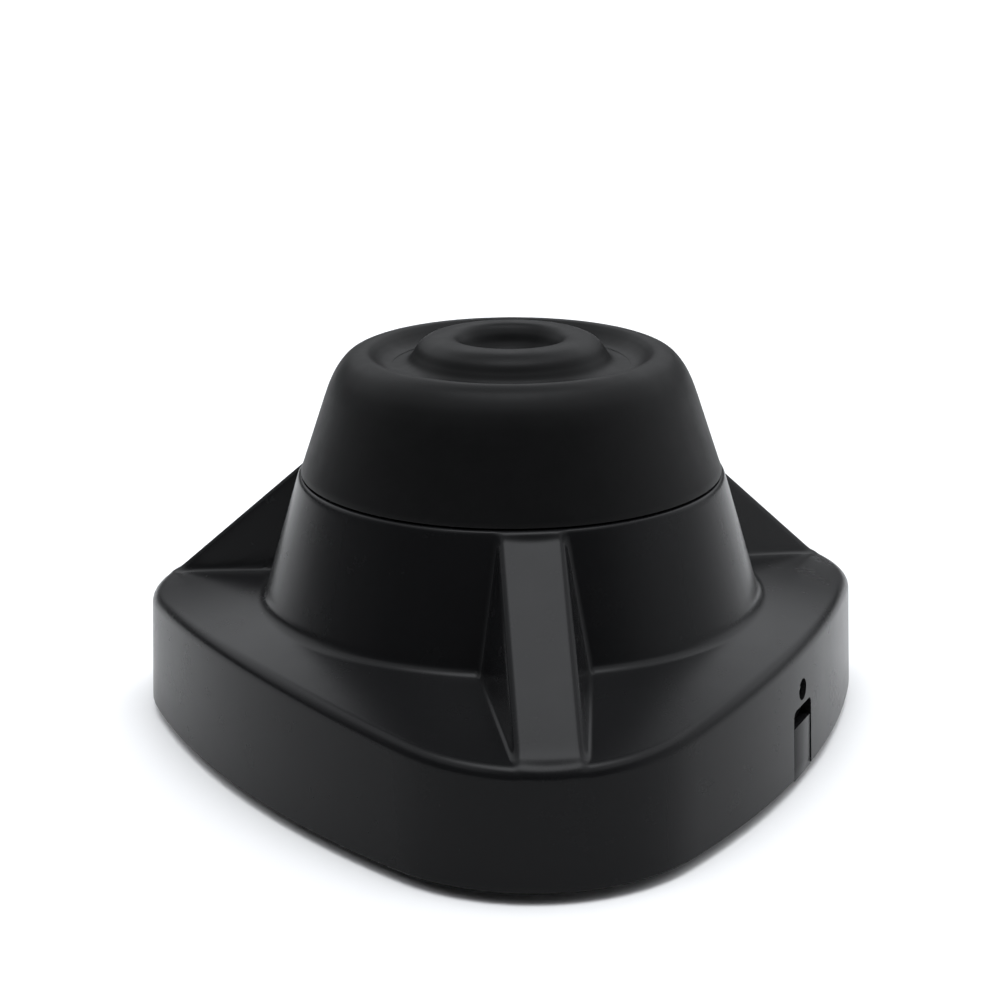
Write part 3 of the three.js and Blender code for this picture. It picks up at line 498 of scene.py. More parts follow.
# Each look's colour, its clouds' colour, roughness, scales of clouds and grain, bump, and the rest by name.
# The lighter edges set in these looks are partly wear and partly painted highlight.
SURFACES = {
    "black_abs": ((0.0044, 0.0045, 0.0048), (0.0050, 0.0050, 0.0054), (0.25, 0.28), 45, 2600, 0.05,
        dict(bump_depth=0.00002, edge_wear_and_highlight=0.2, edge_wear_and_highlight_colour=(0.010, 0.010, 0.011), specular=0.10)),
    "black_rubber": ((0.0022, 0.0023, 0.0024), (0.0028, 0.0028, 0.0030), (0.44, 0.50), 70, 3200, 0.08,
        dict(edge_wear_and_highlight=0.15, edge_wear_and_highlight_colour=grey(0.007), specular=0.10)),
    "foot_rubber": (grey(0.014), grey(0.022), (0.62, 0.78), 200, 1500, 0.3, dict(bump_depth=0.00006)),
    "natural_nylon": ((0.62, 0.59, 0.50), (0.70, 0.67, 0.58), (0.40, 0.52), 120, 1600, 0.2,
        dict(edge_wear_and_highlight=0.3, edge_wear_and_highlight_colour=(0.8, 0.78, 0.7))),
    "zinc_steel": ((0.50, 0.51, 0.52), (0.60, 0.61, 0.62), (0.24, 0.40), 160, 900, 0.12,
        dict(metal=1.0, brushed=(1, 1, 0.12), edge_wear_and_highlight=0.4, edge_wear_and_highlight_colour=(0.75, 0.75, 0.76))),
    "bright_steel": ((0.60, 0.61, 0.62), (0.68, 0.69, 0.70), (0.14, 0.26), 220, 2200, 0.1,
        dict(metal=1.0, brushed=(1, 1, 5), edge_wear_and_highlight=0.4, edge_wear_and_highlight_colour=(0.82, 0.82, 0.83))),
    "screw_steel": ((0.42, 0.43, 0.44), (0.52, 0.52, 0.50), (0.28, 0.42), 500, 2400, 0.15,
        dict(metal=1.0, edge_wear_and_highlight=0.5, edge_wear_and_highlight_colour=grey(0.72))),
    "spring_steel": ((0.36, 0.37, 0.38), grey(0.46), (0.22, 0.34), 400, 2600, 0.12,
        dict(metal=1.0, edge_wear_and_highlight=0.3, edge_wear_and_highlight_colour=grey(0.62))),
    "lamination_steel": ((0.20, 0.20, 0.21), (0.28, 0.27, 0.26), (0.40, 0.55), 300, 1400, 0.5,
        dict(metal=0.9, bump_depth=0.00012, brushed=(0.1, 0.1, 2.2))),
    "ferrite": ((0.045, 0.043, 0.041), (0.065, 0.062, 0.058), (0.62, 0.76), 260, 1300, 0.4,
        dict(bump_depth=0.00008)),
    "brass": ((0.58, 0.42, 0.17), (0.66, 0.50, 0.23), (0.20, 0.34), 140, 1800, 0.14,
        dict(metal=1.0, brushed=(1, 1, 6), edge_wear_and_highlight=0.4, edge_wear_and_highlight_colour=(0.80, 0.66, 0.36))),
    "nickel": ((0.58, 0.56, 0.52), (0.66, 0.64, 0.60), (0.22, 0.36), 240, 1600, 0.12,
        dict(metal=1.0, edge_wear_and_highlight=0.4, edge_wear_and_highlight_colour=(0.8, 0.79, 0.76))),
    # painted shade: nickel darkened almost to black, so that the charging port's opening reads as shade
    "nickel_painted_shade": (grey(0.006), grey(0.008), (0.40, 0.52), 240, 1600, 0.12,
        dict(metal=0.3, edge_wear_and_highlight=0.2, edge_wear_and_highlight_colour=grey(0.03), specular=0.08)),
    "black_epoxy": ((0.016, 0.016, 0.017), (0.024, 0.024, 0.025), (0.44, 0.58), 300, 2400, 0.25,
        dict(edge_wear_and_highlight=0.3)),
    "white_plastic": ((0.70, 0.69, 0.63), (0.78, 0.77, 0.72), (0.32, 0.46), 260, 2200, 0.12,
        dict(edge_wear_and_highlight=0.3, edge_wear_and_highlight_colour=(0.86, 0.85, 0.8))),
    "board_green": ((0.012, 0.10, 0.045), (0.018, 0.14, 0.062), (0.22, 0.34), 420, 1500, 0.3,
        dict(bump_depth=0.00004, coat=0.3)),
    "cell_wrap": ((0.03, 0.12, 0.34), (0.04, 0.15, 0.40), (0.24, 0.36), 180, 700, 0.2,
        dict(brushed=(0.3, 1, 1), edge_wear_and_highlight=0.4, edge_wear_and_highlight_colour=(0.14, 0.28, 0.55))),
    "led_lens": ((0.78, 0.82, 0.80), (0.84, 0.88, 0.86), (0.05, 0.12), 300, 900, 0.04, dict(clear=0.75)),
    "chip_ceramic": ((0.10, 0.085, 0.07), (0.16, 0.13, 0.10), (0.35, 0.5), 600, 2600, 0.2,
        dict(edge_wear_and_highlight=0.5, edge_wear_and_highlight_colour=grey(0.5))),
}
LEAD_COLOURS = {"red": (0.42, 0.02, 0.015), "black": (0.012, 0.012, 0.013), "yellow": (0.60, 0.38, 0.02)}
for lead, colour in LEAD_COLOURS.items():
    tint = tuple(min(1, c * 1.25 + 0.004) for c in colour)
    SURFACES[lead + "_pvc"] = (colour, tint, (0.34, 0.48), 260, 1700, 0.2, {})
LOOKS = {name: surface(name, *values, **rest) for name, (*values, rest) in SURFACES.items()}


def put(obj, node, look=None):
    """Finishes a piece that stands for one CAD node: its body, and its material, picked by the node's slot
    unless a look is given.
    """
    slot = SLOT_OF[node]
    return finish_piece(obj, BODY_OF[node], LOOKS[look or slot], slot, node)


# ---- housing


def outline_gap(x, y, inset=0.0):
    """Distance to the plan outline, in the wedge from a corner axis (x) to a side's middle."""
    half_chord = CORNER_AT * math.sin(60 * DEG)
    side_r = (half_chord**2 + SIDE_BULGE**2) / (2 * SIDE_BULGE)
    half_turn = math.asin(half_chord / side_r)
    side_centre = CORNER_AT / 2 + SIDE_BULGE - side_r
    outwards = x * math.cos(60 * DEG) + y * math.sin(60 * DEG)
    along = x * math.sin(60 * DEG) - y * math.cos(60 * DEG)
    to_side = np.hypot(outwards - side_centre, along)
    turn = np.arctan2(np.abs(along), outwards - side_centre)
    to_corner = np.hypot(x - CORNER_AT, y)
    return np.where(turn <= half_turn, to_side - side_r, to_corner) - CORNER_R + inset


def halved(outside, low, high, rounds=40):
    """The value between low and high past which outside() is true, for each element."""
    for _ in range(rounds):
        mid = (low + high) / 2
        beyond = outside(mid)
        low, high = np.where(beyond, low, mid), np.where(beyond, mid, high)
    return (low + high) / 2


def outline_reach(turn, inset=0.0):
    """Distance from the motor axis to the outline in a direction of the wedge."""

    def outside(r):
        return outline_gap(r * np.cos(turn), r * np.sin(turn), inset) > 0

    return halved(outside, np.zeros_like(turn), np.full_like(turn, CORNER_REACH + 5))


def round_inside(a, b, r):
    """What two solids share, with the edge between them rounded."""
    return np.minimum(-r, np.maximum(a, b)) + np.hypot(np.maximum(r + a, 0), np.maximum(r + b, 0))


def round_union(a, b, r):
    """Two solids joined, with a fillet between them."""
    return np.maximum(r, np.minimum(a, b)) - np.hypot(np.maximum(r - a, 0), np.maximum(r - b, 0))


def deck_height(r):
    """Height of the deck, a shallow cone."""
    return TOWER_FOOT_Z - DECK_FALL * (r - TOWER_FOOT_R)


def rib_line(x):
    """Height of the rib's top line."""
    return RIB_TOP[1] - RIB_FALL * (x - RIB_TOP[0])


def housing_field(x, y, z, depth):
    """Below zero inside the housing's outer form, moved inwards by depth."""
    r = np.hypot(x, y)
    deck = (z - deck_height(r)) / math.hypot(1, DECK_FALL)
    tower = (r - TOWER_FOOT_R + TOWER_LEAN * (z - TOWER_FOOT_Z)) / math.hypot(1, TOWER_LEAN)
    crest = (z - rib_line(x)) / math.hypot(1, RIB_FALL)
    flank = (np.abs(y) - RIB_HALF + RIB_FLARE * crest) / math.hypot(1, RIB_FLARE)
    form = round_union(deck, tower, FOOT_FILLET)
    form = round_union(form, round_inside(crest, flank, RIB_EDGE_R), RIB_FILLET)
    return form + depth


def skin_height(x, y, depth, top_z, edge_r, arris_r):
    """Height of the housing's upper skin over points of the wedge."""
    gap = outline_gap(x, y, depth)

    def outside(z):
        form = round_inside(housing_field(x, y, z, depth), z - top_z, edge_r)
        return round_inside(form, gap + WALL_DRAFT * z, arris_r) > 1e-7

    return halved(outside, np.full_like(x, -4.0), np.full_like(x, SEAM_Z + 1), 44)


def wall_top_reach(turns, depth, arris_r):
    """Distance from the motor axis to the drafted wall, just below its rounded top."""
    reach = outline_reach(turns, depth)
    for _ in range(3):
        height = deck_height(reach) - depth - arris_r - 0.3
        reach = outline_reach(turns, depth + WALL_DRAFT * height)
    return reach


def polar(r, turns, z):
    """Points at distance r from the motor axis, in the given directions, at height z."""
    return np.stack([r * np.cos(turns), r * np.sin(turns), np.full_like(turns, z)], -1)


def spaced(*stretches):
    """Joins stretches of (start, end, steps) into one run of values, without repeats."""
    values = [stretches[0][0]]
    for start, end, steps in stretches:
        values.extend(np.linspace(start, end, steps + 1)[1:])
    return np.array(values)


FAN = 20  # columns from the rib's foot to the side's middle
FLANK_RUN = 0.776  # turns a rib's upright height into height square to its top line, about


def wedge_turns(r):
    """Directions of the grid's columns at radius r: over the rib, down its flank, then a fan."""
    tower = SEAM_Z - (r - SEAM_R) / TOWER_LEAN
    ground = max(deck_height(r), tower)
    rise = max(rib_line(r) - min(ground, SEAM_Z), 0.0)
    flank = RIB_FLARE * FLANK_RUN * rise
    # the flat top, its rounded edge, the flank, and the fillet at its foot
    across = spaced(
        (0, RIB_HALF - 1.9, 4),
        (RIB_HALF - 1.9, RIB_HALF + 0.9, 12),
        (RIB_HALF + 0.9, RIB_HALF + flank + 1.0, 7),
        (RIB_HALF + flank + 1.0, RIB_HALF + flank + 3.0, 8),
    )
    turns = np.arcsin(across / r)
    fan = turns[-1] + (60 * DEG - turns[-1]) * (np.arange(1, FAN + 1) / FAN) ** 1.2
    return np.concatenate([turns, fan])


def tower_rows(depth, top_z, edge_r, arris_r, start_r):
    """Rows of the skin from the tower's top to the wall, as points of one wedge."""
    top_r = SEAM_R - depth * 1.04
    # up to the seam's edge, round it, down the tower, and through the fillet at its foot
    inner = spaced(
        (start_r, top_r - 1.0, 3),
        (top_r - 1.0, top_r + 0.4, 7),
        (top_r + 0.4, TOWER_FOOT_R - depth - 1.2, 26),
        (TOWER_FOOT_R - depth - 1.2, TOWER_FOOT_R - depth + 3.0, 16),
    )
    rows = []
    for r in inner:
        rows.append(polar(r, wedge_turns(r), 0))
    last = inner[-1]
    far = arris_r * 1.25 + 0.6
    for share in spaced((0, 1, 22))[1:]:
        turns = wedge_turns(last + (CORNER_REACH - depth - far - last) * share)
        reach = wall_top_reach(turns, depth, arris_r) - far
        rows.append(polar(last + (reach - last) * share, turns, 0))
    turns = wedge_turns(CORNER_REACH - depth - 1)
    edge = wall_top_reach(turns, depth, arris_r)
    for step in spaced((0, 1, 12))[1:]:
        rows.append(polar(edge - far * (1 - math.sin(step * 90 * DEG)), turns, 0))
    rows = np.array(rows)
    rows[..., 2] = skin_height(rows[..., 0], rows[..., 1], depth, top_z, edge_r, arris_r)
    return rows


def wall_rows(edge_row, depth, bottom_z, count):
    """Rows down the drafted wall, from the last skin row to bottom_z."""
    turns = np.arctan2(edge_row[:, 1], edge_row[:, 0])
    foot = polar(outline_reach(turns, depth + WALL_DRAFT * bottom_z), turns, bottom_z)
    return np.array([edge_row + (foot - edge_row) * share for share in np.linspace(0, 1, count + 1)[1:]])


def polar_row(r, z):
    """A level row of one wedge at radius r."""
    return polar(r, wedge_turns(max(r, SEAM_R - 3)), z)


def all_round(wedge):
    """A half-wedge grid mirrored over its rib and repeated on the three corners."""
    mirrored = wedge[:, ::-1].copy()
    mirrored[..., 1] *= -1
    third = np.concatenate([mirrored[:, :-1], wedge[:, :-1]], axis=1)
    return np.concatenate([turned_by(third, angle) for angle in CORNERS.values()], axis=1)


def pulled_in(row, distance, z):
    """A row moved towards the motor axis, at another height."""
    r = np.hypot(row[:, 0], row[:, 1])
    nearer = row * ((r - distance) / r)[:, None]
    nearer[:, 2] = z
    return nearer


def housing_shell():
    """The moulding's skin: down the outside, round the bottom edge, up the inside and over the spigot."""
    outer = tower_rows(0.0, SEAM_Z, SEAM_EDGE_R, ARRIS_R, GRIP_R)
    outer_wall = wall_rows(outer[-1], 0.0, BOTTOM_EDGE, 12)
    inner = tower_rows(WALL, SEAM_Z - SHOULDER, 0.3, ARRIS_R * 0.6, GRIP_R - WALL)
    inner_wall = wall_rows(inner[-1], WALL, BOTTOM_EDGE, 6)
    foot = [pulled_in(outer_wall[-1], BOTTOM_EDGE, 0.0), pulled_in(inner_wall[-1], -BOTTOM_EDGE, 0.0)]
    top_r = GRIP_R - GRIP_LEAN * (SPIGOT_Z - SEAM_Z)
    spigot = [
        polar_row(GRIP_R - WALL, SEAM_Z - SHOULDER + 0.4),
        polar_row(GRIP_R - WALL, SEAM_Z),
        polar_row(top_r - WALL, SPIGOT_Z - 0.4),
        polar_row(top_r - WALL + 0.4, SPIGOT_Z),
        polar_row(top_r - 0.5, SPIGOT_Z),
        polar_row(top_r, SPIGOT_Z - 0.5),
        polar_row(GRIP_R - 0.05, SEAM_Z + 0.1),
    ]
    wedge = np.concatenate([outer, outer_wall, foot, inner_wall[::-1], inner[::-1], np.array(spigot)])
    grid = all_round(wedge)
    return new_object("housing_shell", grid.reshape(-1, 3), ring_grid(grid))


def port_frame(points):
    """Points given as (outwards, along the wall, height) on the port's side."""
    return turned_by(np.asarray(points, float) + (0, PORT_SHIFT, 0), PORT_ANGLE)


def upright_prism(name, outline, out0, out1):
    """An outline of (along, height) points pushed through the port's wall."""
    outline = np.asarray(outline, float)
    near = np.column_stack([np.full(len(outline), out0), outline])
    far = np.column_stack([np.full(len(outline), out1), outline])
    return new_object(name, port_frame(np.vstack([near, far])), between(len(outline)))


def port_arch(half, top, corner, bottom=-1.0):
    """The outline of the port's notch: open below, with two round corners above."""
    right = arc((half - corner, top - corner), corner, 0, 90)
    left = arc((corner - half, top - corner), corner, 90, 180)
    return [(half, bottom)] + right + left + [(-half, bottom)]


BOSS_R = 3.8
BOSS_FOOT_Z = 5.4
BOSS_CHAMFER = 0.4
BORE_R = 1.6
BORE_TOP_Z = 16
BOSS_SIDES = 40
WEB_HALF = 0.9
WEB_FOOT_Z = 7


def screw_boss(angle):
    """A bored post for a base screw, its top cut to run into the rib above it."""
    rings = [(BORE_R, BORE_TOP_Z), (BORE_R, BOSS_FOOT_Z), (BOSS_R - BOSS_CHAMFER, BOSS_FOOT_Z),
             (BOSS_R, BOSS_FOOT_Z + BOSS_CHAMFER), (BOSS_R, None)]
    points = [(FOOT_AT, 0, BORE_TOP_Z)]
    for r, z in rings:
        for k in range(BOSS_SIDES):
            x, y = at_angle(r, 360 / BOSS_SIDES * k)
            points.append((FOOT_AT + x, y, rib_line(FOOT_AT + x) - 1.4 if z is None else z))
    points.append((FOOT_AT, 0, rib_line(FOOT_AT) - 1.4))
    faces = []
    for k in range(BOSS_SIDES):
        after = (k + 1) % BOSS_SIDES
        faces.append((0, 1 + k, 1 + after))
        for ring in range(len(rings) - 1):
            low, high = 1 + ring * BOSS_SIDES, 1 + (ring + 1) * BOSS_SIDES
            faces.append((low + k, high + k, high + after, low + after))
        top = 1 + (len(rings) - 1) * BOSS_SIDES
        faces.append((top + k, top + after, len(points) - 1))
    return new_object("boss", turned_by(points, angle), faces)


def corner_web(angle):
    """A thin upright web from a screw post to the corner of the wall."""
    near, far = FOOT_AT + BOSS_R - 0.8, CORNER_REACH - 1.4
    side = [(near, WEB_FOOT_Z), (far, WEB_FOOT_Z), (far, rib_line(far) - 3.4), (near, rib_line(near) - 1.6)]
    points = [(x, y, z) for y in (-WEB_HALF, WEB_HALF) for x, z in side]
    return new_object("web", turned_by(points, angle), between(len(side)))


def housing():
    """The shell with the port and lamp hole cut, and the screw posts and webs inside."""
    shell = housing_shell()
    through = (SIDE_REACH - 6, SIDE_REACH + 6)
    carve(shell, upright_prism("port_cutter", port_arch(*NOTCH), *through))
    lamp_hole = arc((0, LED_Z), LAMP_HOLE_R, 0, 352.5, 47)
    carve(shell, upright_prism("lamp_cutter", lamp_hole, *through))
    for angle in CORNERS.values():
        join(shell, screw_boss(angle))
        join(shell, corner_web(angle))
    put(shade(shell, 32), "housing")


# ---- boot and cup


MEMBRANE_Z = 71.0  # top of the cup's flange, just under the boot's feathered lip
BOOT_EDGE = (34.85, 65.0)  # radius and height where the boot's straight side ends
LIP_R = 22.2
LIP = 0.02  # thickness of the lip's feathered edge


def boot():
    """A straight-sided cone with a rounded rim, which runs down into the moat and ends in a thin lip."""
    foot_r, foot_z = SEAM_R - 0.45, SEAM_Z + GAP
    edge_r, edge_z = BOOT_EDGE
    side = [(foot_r + (edge_r - foot_r) * t, foot_z + (edge_z - foot_z) * t) for t in (0.1, 0.4, 0.7, 0.9)]
    rim = curve_through([
        BOOT_EDGE, (33.75, 67.9), (32.3, 70.6), (30.4, 72.75), (28.6, 73.62), (27.5, RIM_Z), (26.6, 73.62),
        (25.8, 73.05), (25.0, 72.3), (24.1, 71.6), (23.2, 71.18), (LIP_R, MEMBRANE_Z + 2 * LIP)])
    under = [
        (LIP_R, MEMBRANE_Z + LIP), (26.3, MEMBRANE_Z + LIP), (28.6, 70.5), (30.3, 69.4), (31.6, 67.4),
        (32.6, edge_z), (foot_r - RUBBER, foot_z), (foot_r - 0.3, foot_z), (foot_r - 0.08, foot_z + 0.1),
        (foot_r - 0.06, foot_z + 0.32)]
    profile = side + [tuple(p) for p in rim] + under
    put(turned("rubber_boot_skin", profile, segments=256, angle=50), "rubber_boot")


def cup():
    """The ring round the dimple, on a flange under the boot's lip, with the carrier's seat below."""
    hump = curve_through([
        (22.4, MEMBRANE_Z), (20.2, MEMBRANE_Z + 0.02), (19.1, 71.5), (18.1, 72.8), (16.9, 74.5),
        (14.9, 75.65), (12.0, HUMP_Z), (10.5, 75.6), (9.4, 74.4), (8.4, 72.6), (7.0, 71.1), (4.5, 70.3),
        (0.0, 70.0)])
    body = [
        (0.0, 67.3), (11.7, 67.3), (15.4, 63.2), (15.4, 60.8), (15.2, 60.6), (13.3, 60.5), (13.0, 60.2),
        (13.0, 59.4), (13.4, 59.0), (17.3, 59.0), (17.8, 59.5), (17.8, 67.6), (18.4, 68.1), (24.5, 68.8),
        (24.9, 69.1), (24.9, MEMBRANE_Z - 0.25), (24.65, MEMBRANE_Z)]
    profile = body + [tuple(p) for p in hump]
    put(turned("shaker_cup_skin", profile, (CUP_AXIS.x, CUP_AXIS.y), 220, 50), "shaker_cup")


# ---- camera, floor and light

CAMERA_FOCAL = 2284.7  # in widths of a thousandth of the frame
CAMERA_AT = (-35.5, -412.7, 169.1)
CAMERA_PITCH = 0.2922
CAMERA_HEADING = 0.0806
CAMERA_ROLL = -0.0043


def camera():
    """A camera in front of the object, a little to its left, looking down on it."""
    data = bpy.data.cameras.new("camera")
    data.sensor_width = 36
    data.lens = CAMERA_FOCAL / 1000 * 36
    data.clip_end = 20
    obj = bpy.data.objects.new("camera", data)
    bpy.context.scene.collection.objects.link(obj)
    ahead = Vector((
        math.sin(CAMERA_HEADING) * math.cos(CAMERA_PITCH),
        math.cos(CAMERA_HEADING) * math.cos(CAMERA_PITCH),
        -math.sin(CAMERA_PITCH),
    ))
    right = Vector((math.cos(CAMERA_HEADING), -math.sin(CAMERA_HEADING), 0))
    up = right.cross(ahead)
    c, s = math.cos(CAMERA_ROLL), math.sin(CAMERA_ROLL)
    right, up = c * right + s * up, c * up - s * right
    turn = Matrix((right, up, -ahead)).transposed()
    obj.matrix_world = Matrix.Translation(ORIGIN + Vector(CAMERA_AT) * MM) @ turn.to_4x4()
    bpy.context.scene.camera = obj


def area_light(name, at, aim, size, power):
    """A square lamp aimed at a point, in metres and watts."""
    data = bpy.data.lights.new(name, "AREA")
    data.shape = "RECTANGLE"
    data.size, data.size_y = size
    data.energy = power
    obj = bpy.data.objects.new(name, data)
    bpy.context.scene.collection.objects.link(obj)
    obj.location = at
    obj.rotation_euler = (Vector(aim) - Vector(at)).to_track_quat("-Z", "Y").to_euler()
    return obj


def studio_world():
    """A soft box overhead, a band of light behind, weaker light at the sides, and dim elsewhere."""
    world = bpy.data.worlds.new("studio")
    bpy.context.scene.world = world
    world.use_nodes = True
    tree = world.node_tree
    background = tree.nodes["Background"]
    heading = add_node(tree, "ShaderNodeTexCoord").outputs["Generated"]
    split = add_node(tree, "ShaderNodeSeparateXYZ")
    tree.links.new(heading, split.inputs[0])
    x, y, z = split.outputs

    def combine(operation, first, second):
        node = add_node(tree, "ShaderNodeMath", operation=operation)
        tree.links.new(first, node.inputs[0])
        tree.links.new(second, node.inputs[1])
        return node.outputs[0]

    overhead = combine("MULTIPLY", ramp(tree, z, 0.88, 0.96, 0.0, 8.0), ramp(tree, y, 0.0, 0.18, 1.0, 0.12))
    band = combine("MULTIPLY", ramp(tree, z, 0.20, 0.45, 0.0, 1.0), ramp(tree, z, 0.62, 0.78, 1.0, 0.0))
    behind = combine("MULTIPLY", band, ramp(tree, y, -0.1, 0.5, 0.0, 2.0))
    right = ramp(tree, x, 0.62, 0.95, 0.03, 1.1)
    left = ramp(tree, x, -0.97, -0.86, 0.15, 0.02)
    shoulders = combine("ADD", ramp(tree, x, -0.45, -0.25, 1.7, 0.0), ramp(tree, x, 0.25, 0.45, 0.0, 2.1))
    high = combine("MULTIPLY", shoulders, ramp(tree, z, 0.60, 0.72, 0.0, 1.0))
    total = combine("ADD", combine("ADD", overhead, behind), combine("ADD", right, left))
    total = combine("ADD", total, high)
    tree.links.new(total, background.inputs["Strength"])
    background.inputs["Color"].default_value = (0.97, 0.99, 1.02, 1)


def studio():
    """The floor, the light all round, and a lamp overhead that leaves no glint."""
    size = 6.0
    corners = [(-size, -size, 0), (size, -size, 0), (size, size, 0), (-size, size, 0)]
    mesh = bpy.data.meshes.new("floor")
    mesh.from_pydata(corners, [], [(0, 1, 2, 3)])
    floor = bpy.data.objects.new("floor", mesh)
    floor.location.z = FLOOR_Z
    bpy.context.scene.collection.objects.link(floor)
    mesh.materials.append(surface("pale_floor", grey(0.74), grey(0.75), (0.6, 0.7), 3, bump=0.02))
    studio_world()
    fill = area_light("floor_fill", (0.0, 0.0, 2.2), (0, 0, 0), (3.0, 3.0), 6)
    fill.visible_glossy = False
    bpy.context.scene.view_settings.view_transform = "Standard"


# ---- base plate and feet

PLATE = 2.5
GUIDE_AT = 27.0
POST_Z = 26.0
SWITCH_ANGLE = 210
SWITCH_Z = (28.3, 34.8)
BOARD_Z = (8.3, 9.9)
BOARD_SCREWS = ((39.5, 12.5), (39.5, -12.5))
PLATFORM_Z = (40.0, 43.0)
MOTOR_SCREW_AT = 8.5


def outline_points(inset, count=240):
    """The plan outline as [x, y] points."""
    turns = np.linspace(0, 60 * DEG, count // 6 + 1)
    half = polar(outline_reach(turns, inset), turns, 0)
    back = half[::-1][1:] * (1, -1, 1)
    third = np.vstack([back[:-1], half[:-1]])
    return np.vstack([turned_by(third, angle) for angle in CORNERS.values()])[:, :2]


PAD_R = 6.6  # the round pad over a foot
PAD_Z = 5.0
POST_R = 4.0
POST_FINS = 4
TAB_HALF = 4.5
SWITCH_SIZE = (5.8, 12.8)  # across and along


def base_plate():
    """The plate that closes the base, with pads, spring posts, board posts, pedestal, tongue and tab."""
    inset = WALL + GAP
    plate = prism("base_plate_moulding", outline_points(inset), 0, PLATE)
    outer = SIDE_REACH - 0.15
    steps = (("tongue", SIDE_REACH - inset - 4, PLATE), ("tab", SIDE_REACH - WALL, PORT_Z - 1.85))
    for name, inner, top in steps:
        piece = block(name, (inner, outer), (-TAB_HALF, TAB_HALF), (0, top))
        for vertex in piece.data.vertices:
            vertex.co.x -= WALL_DRAFT * (vertex.co.z - ORIGIN.z)
        join(plate, in_bay(piece))
    for angle in CORNERS.values():
        foot, guide = at_angle(FOOT_AT, angle), at_angle(GUIDE_AT, angle)
        join(plate, disc_at("pad", PAD_R, 1, PAD_Z, foot, 64))
        join(plate, disc_at("post", POST_R, 1, POST_Z, guide, 64))
        for k in range(POST_FINS):
            fin = block("fin", (POST_R - 0.6, POST_R + 2.4), (-0.6, 0.6), (1, 12))
            join(plate, moved(moved(fin, spin=360 / POST_FINS * k + 45), shift=(*guide, 0)))
        for radius, low, high in ((7.9, -1, 0.8), (3.3, 0, 2.6), (1.8, 0, 6)):
            carve(plate, disc_at("hole", radius, low, high, foot, 64))
        carve(plate, disc_at("pilot", 1.7, 17, POST_Z + 1, guide, 32))
    for at in BOARD_SCREWS:
        join(plate, in_bay(disc_at("board_post", 2.6, 1, BOARD_Z[0] - GAP, at)))
        carve(plate, in_bay(disc_at("board_pilot", 1.2, 4, 12, at, 24)))
    pedestal = block("pedestal", *switch_plan(), (1, SWITCH_Z[0] - GAP))
    join(plate, moved(pedestal, spin=SWITCH_ANGLE))
    put(edged(plate, 0.22, 2, 50), "base_plate")


def feet():
    """Rubber feet with a hollow underside, and the screws above them."""
    under = [(0, -1.45), (3.1, -1.45), (3.5, -2), (6.8, -2), (7.6, -1.2), (7.6, 0.5), (0, 0.5)]
    for corner, angle in CORNERS.items():
        at = at_angle(FOOT_AT, angle)
        put(soft_turned(f"foot_{corner}_moulding", under, at, 0.4), f"foot_{corner}", "foot_rubber")
        fixing = screw(f"base_screw_{corner}_part", 1.3, 4.5, 14.3, 2.9, 1.4)
        put(moved(fixing, shift=(*at, 16.7), tilt=("X", 180)), f"base_screw_{corner}")


# ---- carriage


PLATFORM_R = 34
PRESSER_R = 2.5
POCKET = (19, 24, 42.2)  # inner and outer radius and floor of the platform's pockets
POCKETS = 6


def platform():
    """The disc that carries the motor and presses the switch."""
    low, high = PLATFORM_Z
    seat = disc_at("motor_platform_moulding", PLATFORM_R, low, high, segments=180)
    presser = disc_at("presser", PRESSER_R, SWITCH_Z[1] + 2, low + 1, at_angle(GUIDE_AT, SWITCH_ANGLE))
    join(seat, presser)
    holes = [(3.3, (0, 0)), (1.4, (MOTOR_SCREW_AT, 0)), (1.4, (-MOTOR_SCREW_AT, 0))]
    holes += [(2.4, at_angle(GUIDE_AT, angle)) for angle in CORNERS.values()]
    for radius, centre in holes:
        carve(seat, disc_at("hole", radius, low - 2, high + 2, centre, 48))
    inner, outer, floor = POCKET
    for k in range(POCKETS):
        section = [(inner, floor), (outer, floor), (outer, high + 1), (inner, high + 1)]
        pocket = turned("pocket", section, segments=180)
        wedge = prism("wedge", [at_angle(5, 0), at_angle(40, -12), at_angle(40, 12)], low + 2, high + 1)
        carve(pocket, moved(wedge, spin=360 / POCKETS * k), "INTERSECT")
        carve(seat, pocket)
    put(edged(seat, 0.3, 3), "motor_platform")


WIRE_R = 0.42
COIL_R = 3.25
COIL_TURNS = 5.5


def springs():
    """Coils that lie flat at both ends, from the posts to the platform."""
    low, high = POST_Z + GAP + WIRE_R, PLATFORM_Z[0] - GAP - WIRE_R
    share = np.linspace(0, 1, 240)
    turns = 2 * math.pi * COIL_TURNS * share - 1.0
    rise = np.clip((share - 0.12) / 0.76, 0, 1)
    eased = 0.25 * rise * rise * (3 - 2 * rise) + 0.75 * rise
    lift = low + (high - low) * (0.94 * eased + 0.06 * share)
    for corner, angle in CORNERS.items():
        x, y = at_angle(GUIDE_AT, angle)
        line = np.column_stack([x + COIL_R * np.cos(turns), y + COIL_R * np.sin(turns), lift])
        coil = round_bar(f"return_spring_{corner}_wire", line, WIRE_R, 14)
        coil.data.materials.append(LOOKS["spring_steel"])
        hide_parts(f"return_spring_{corner}")
        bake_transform(coil)


def guides():
    """Shoulder screws that the platform slides on."""
    for corner, angle in CORNERS.items():
        shoulder = (2.0, POST_Z + GAP)
        guide = screw(f"guide_screw_{corner}_part", 1.4, 18, PLATFORM_Z[1] + GAP, 3.6, 2.0, "hex", shoulder)
        put(moved(guide, shift=(*at_angle(GUIDE_AT, angle), 0)), f"guide_screw_{corner}")


def sector(name, inner, outer, half_turn, z0, z1, steps=40):
    """An upright arc-shaped bar, from -half_turn to half_turn degrees."""
    turns = np.linspace(-half_turn, half_turn, steps)
    outline = [at_angle(outer, t) for t in turns] + [at_angle(inner, t) for t in turns[::-1]]
    return prism(name, outline, z0, z1)


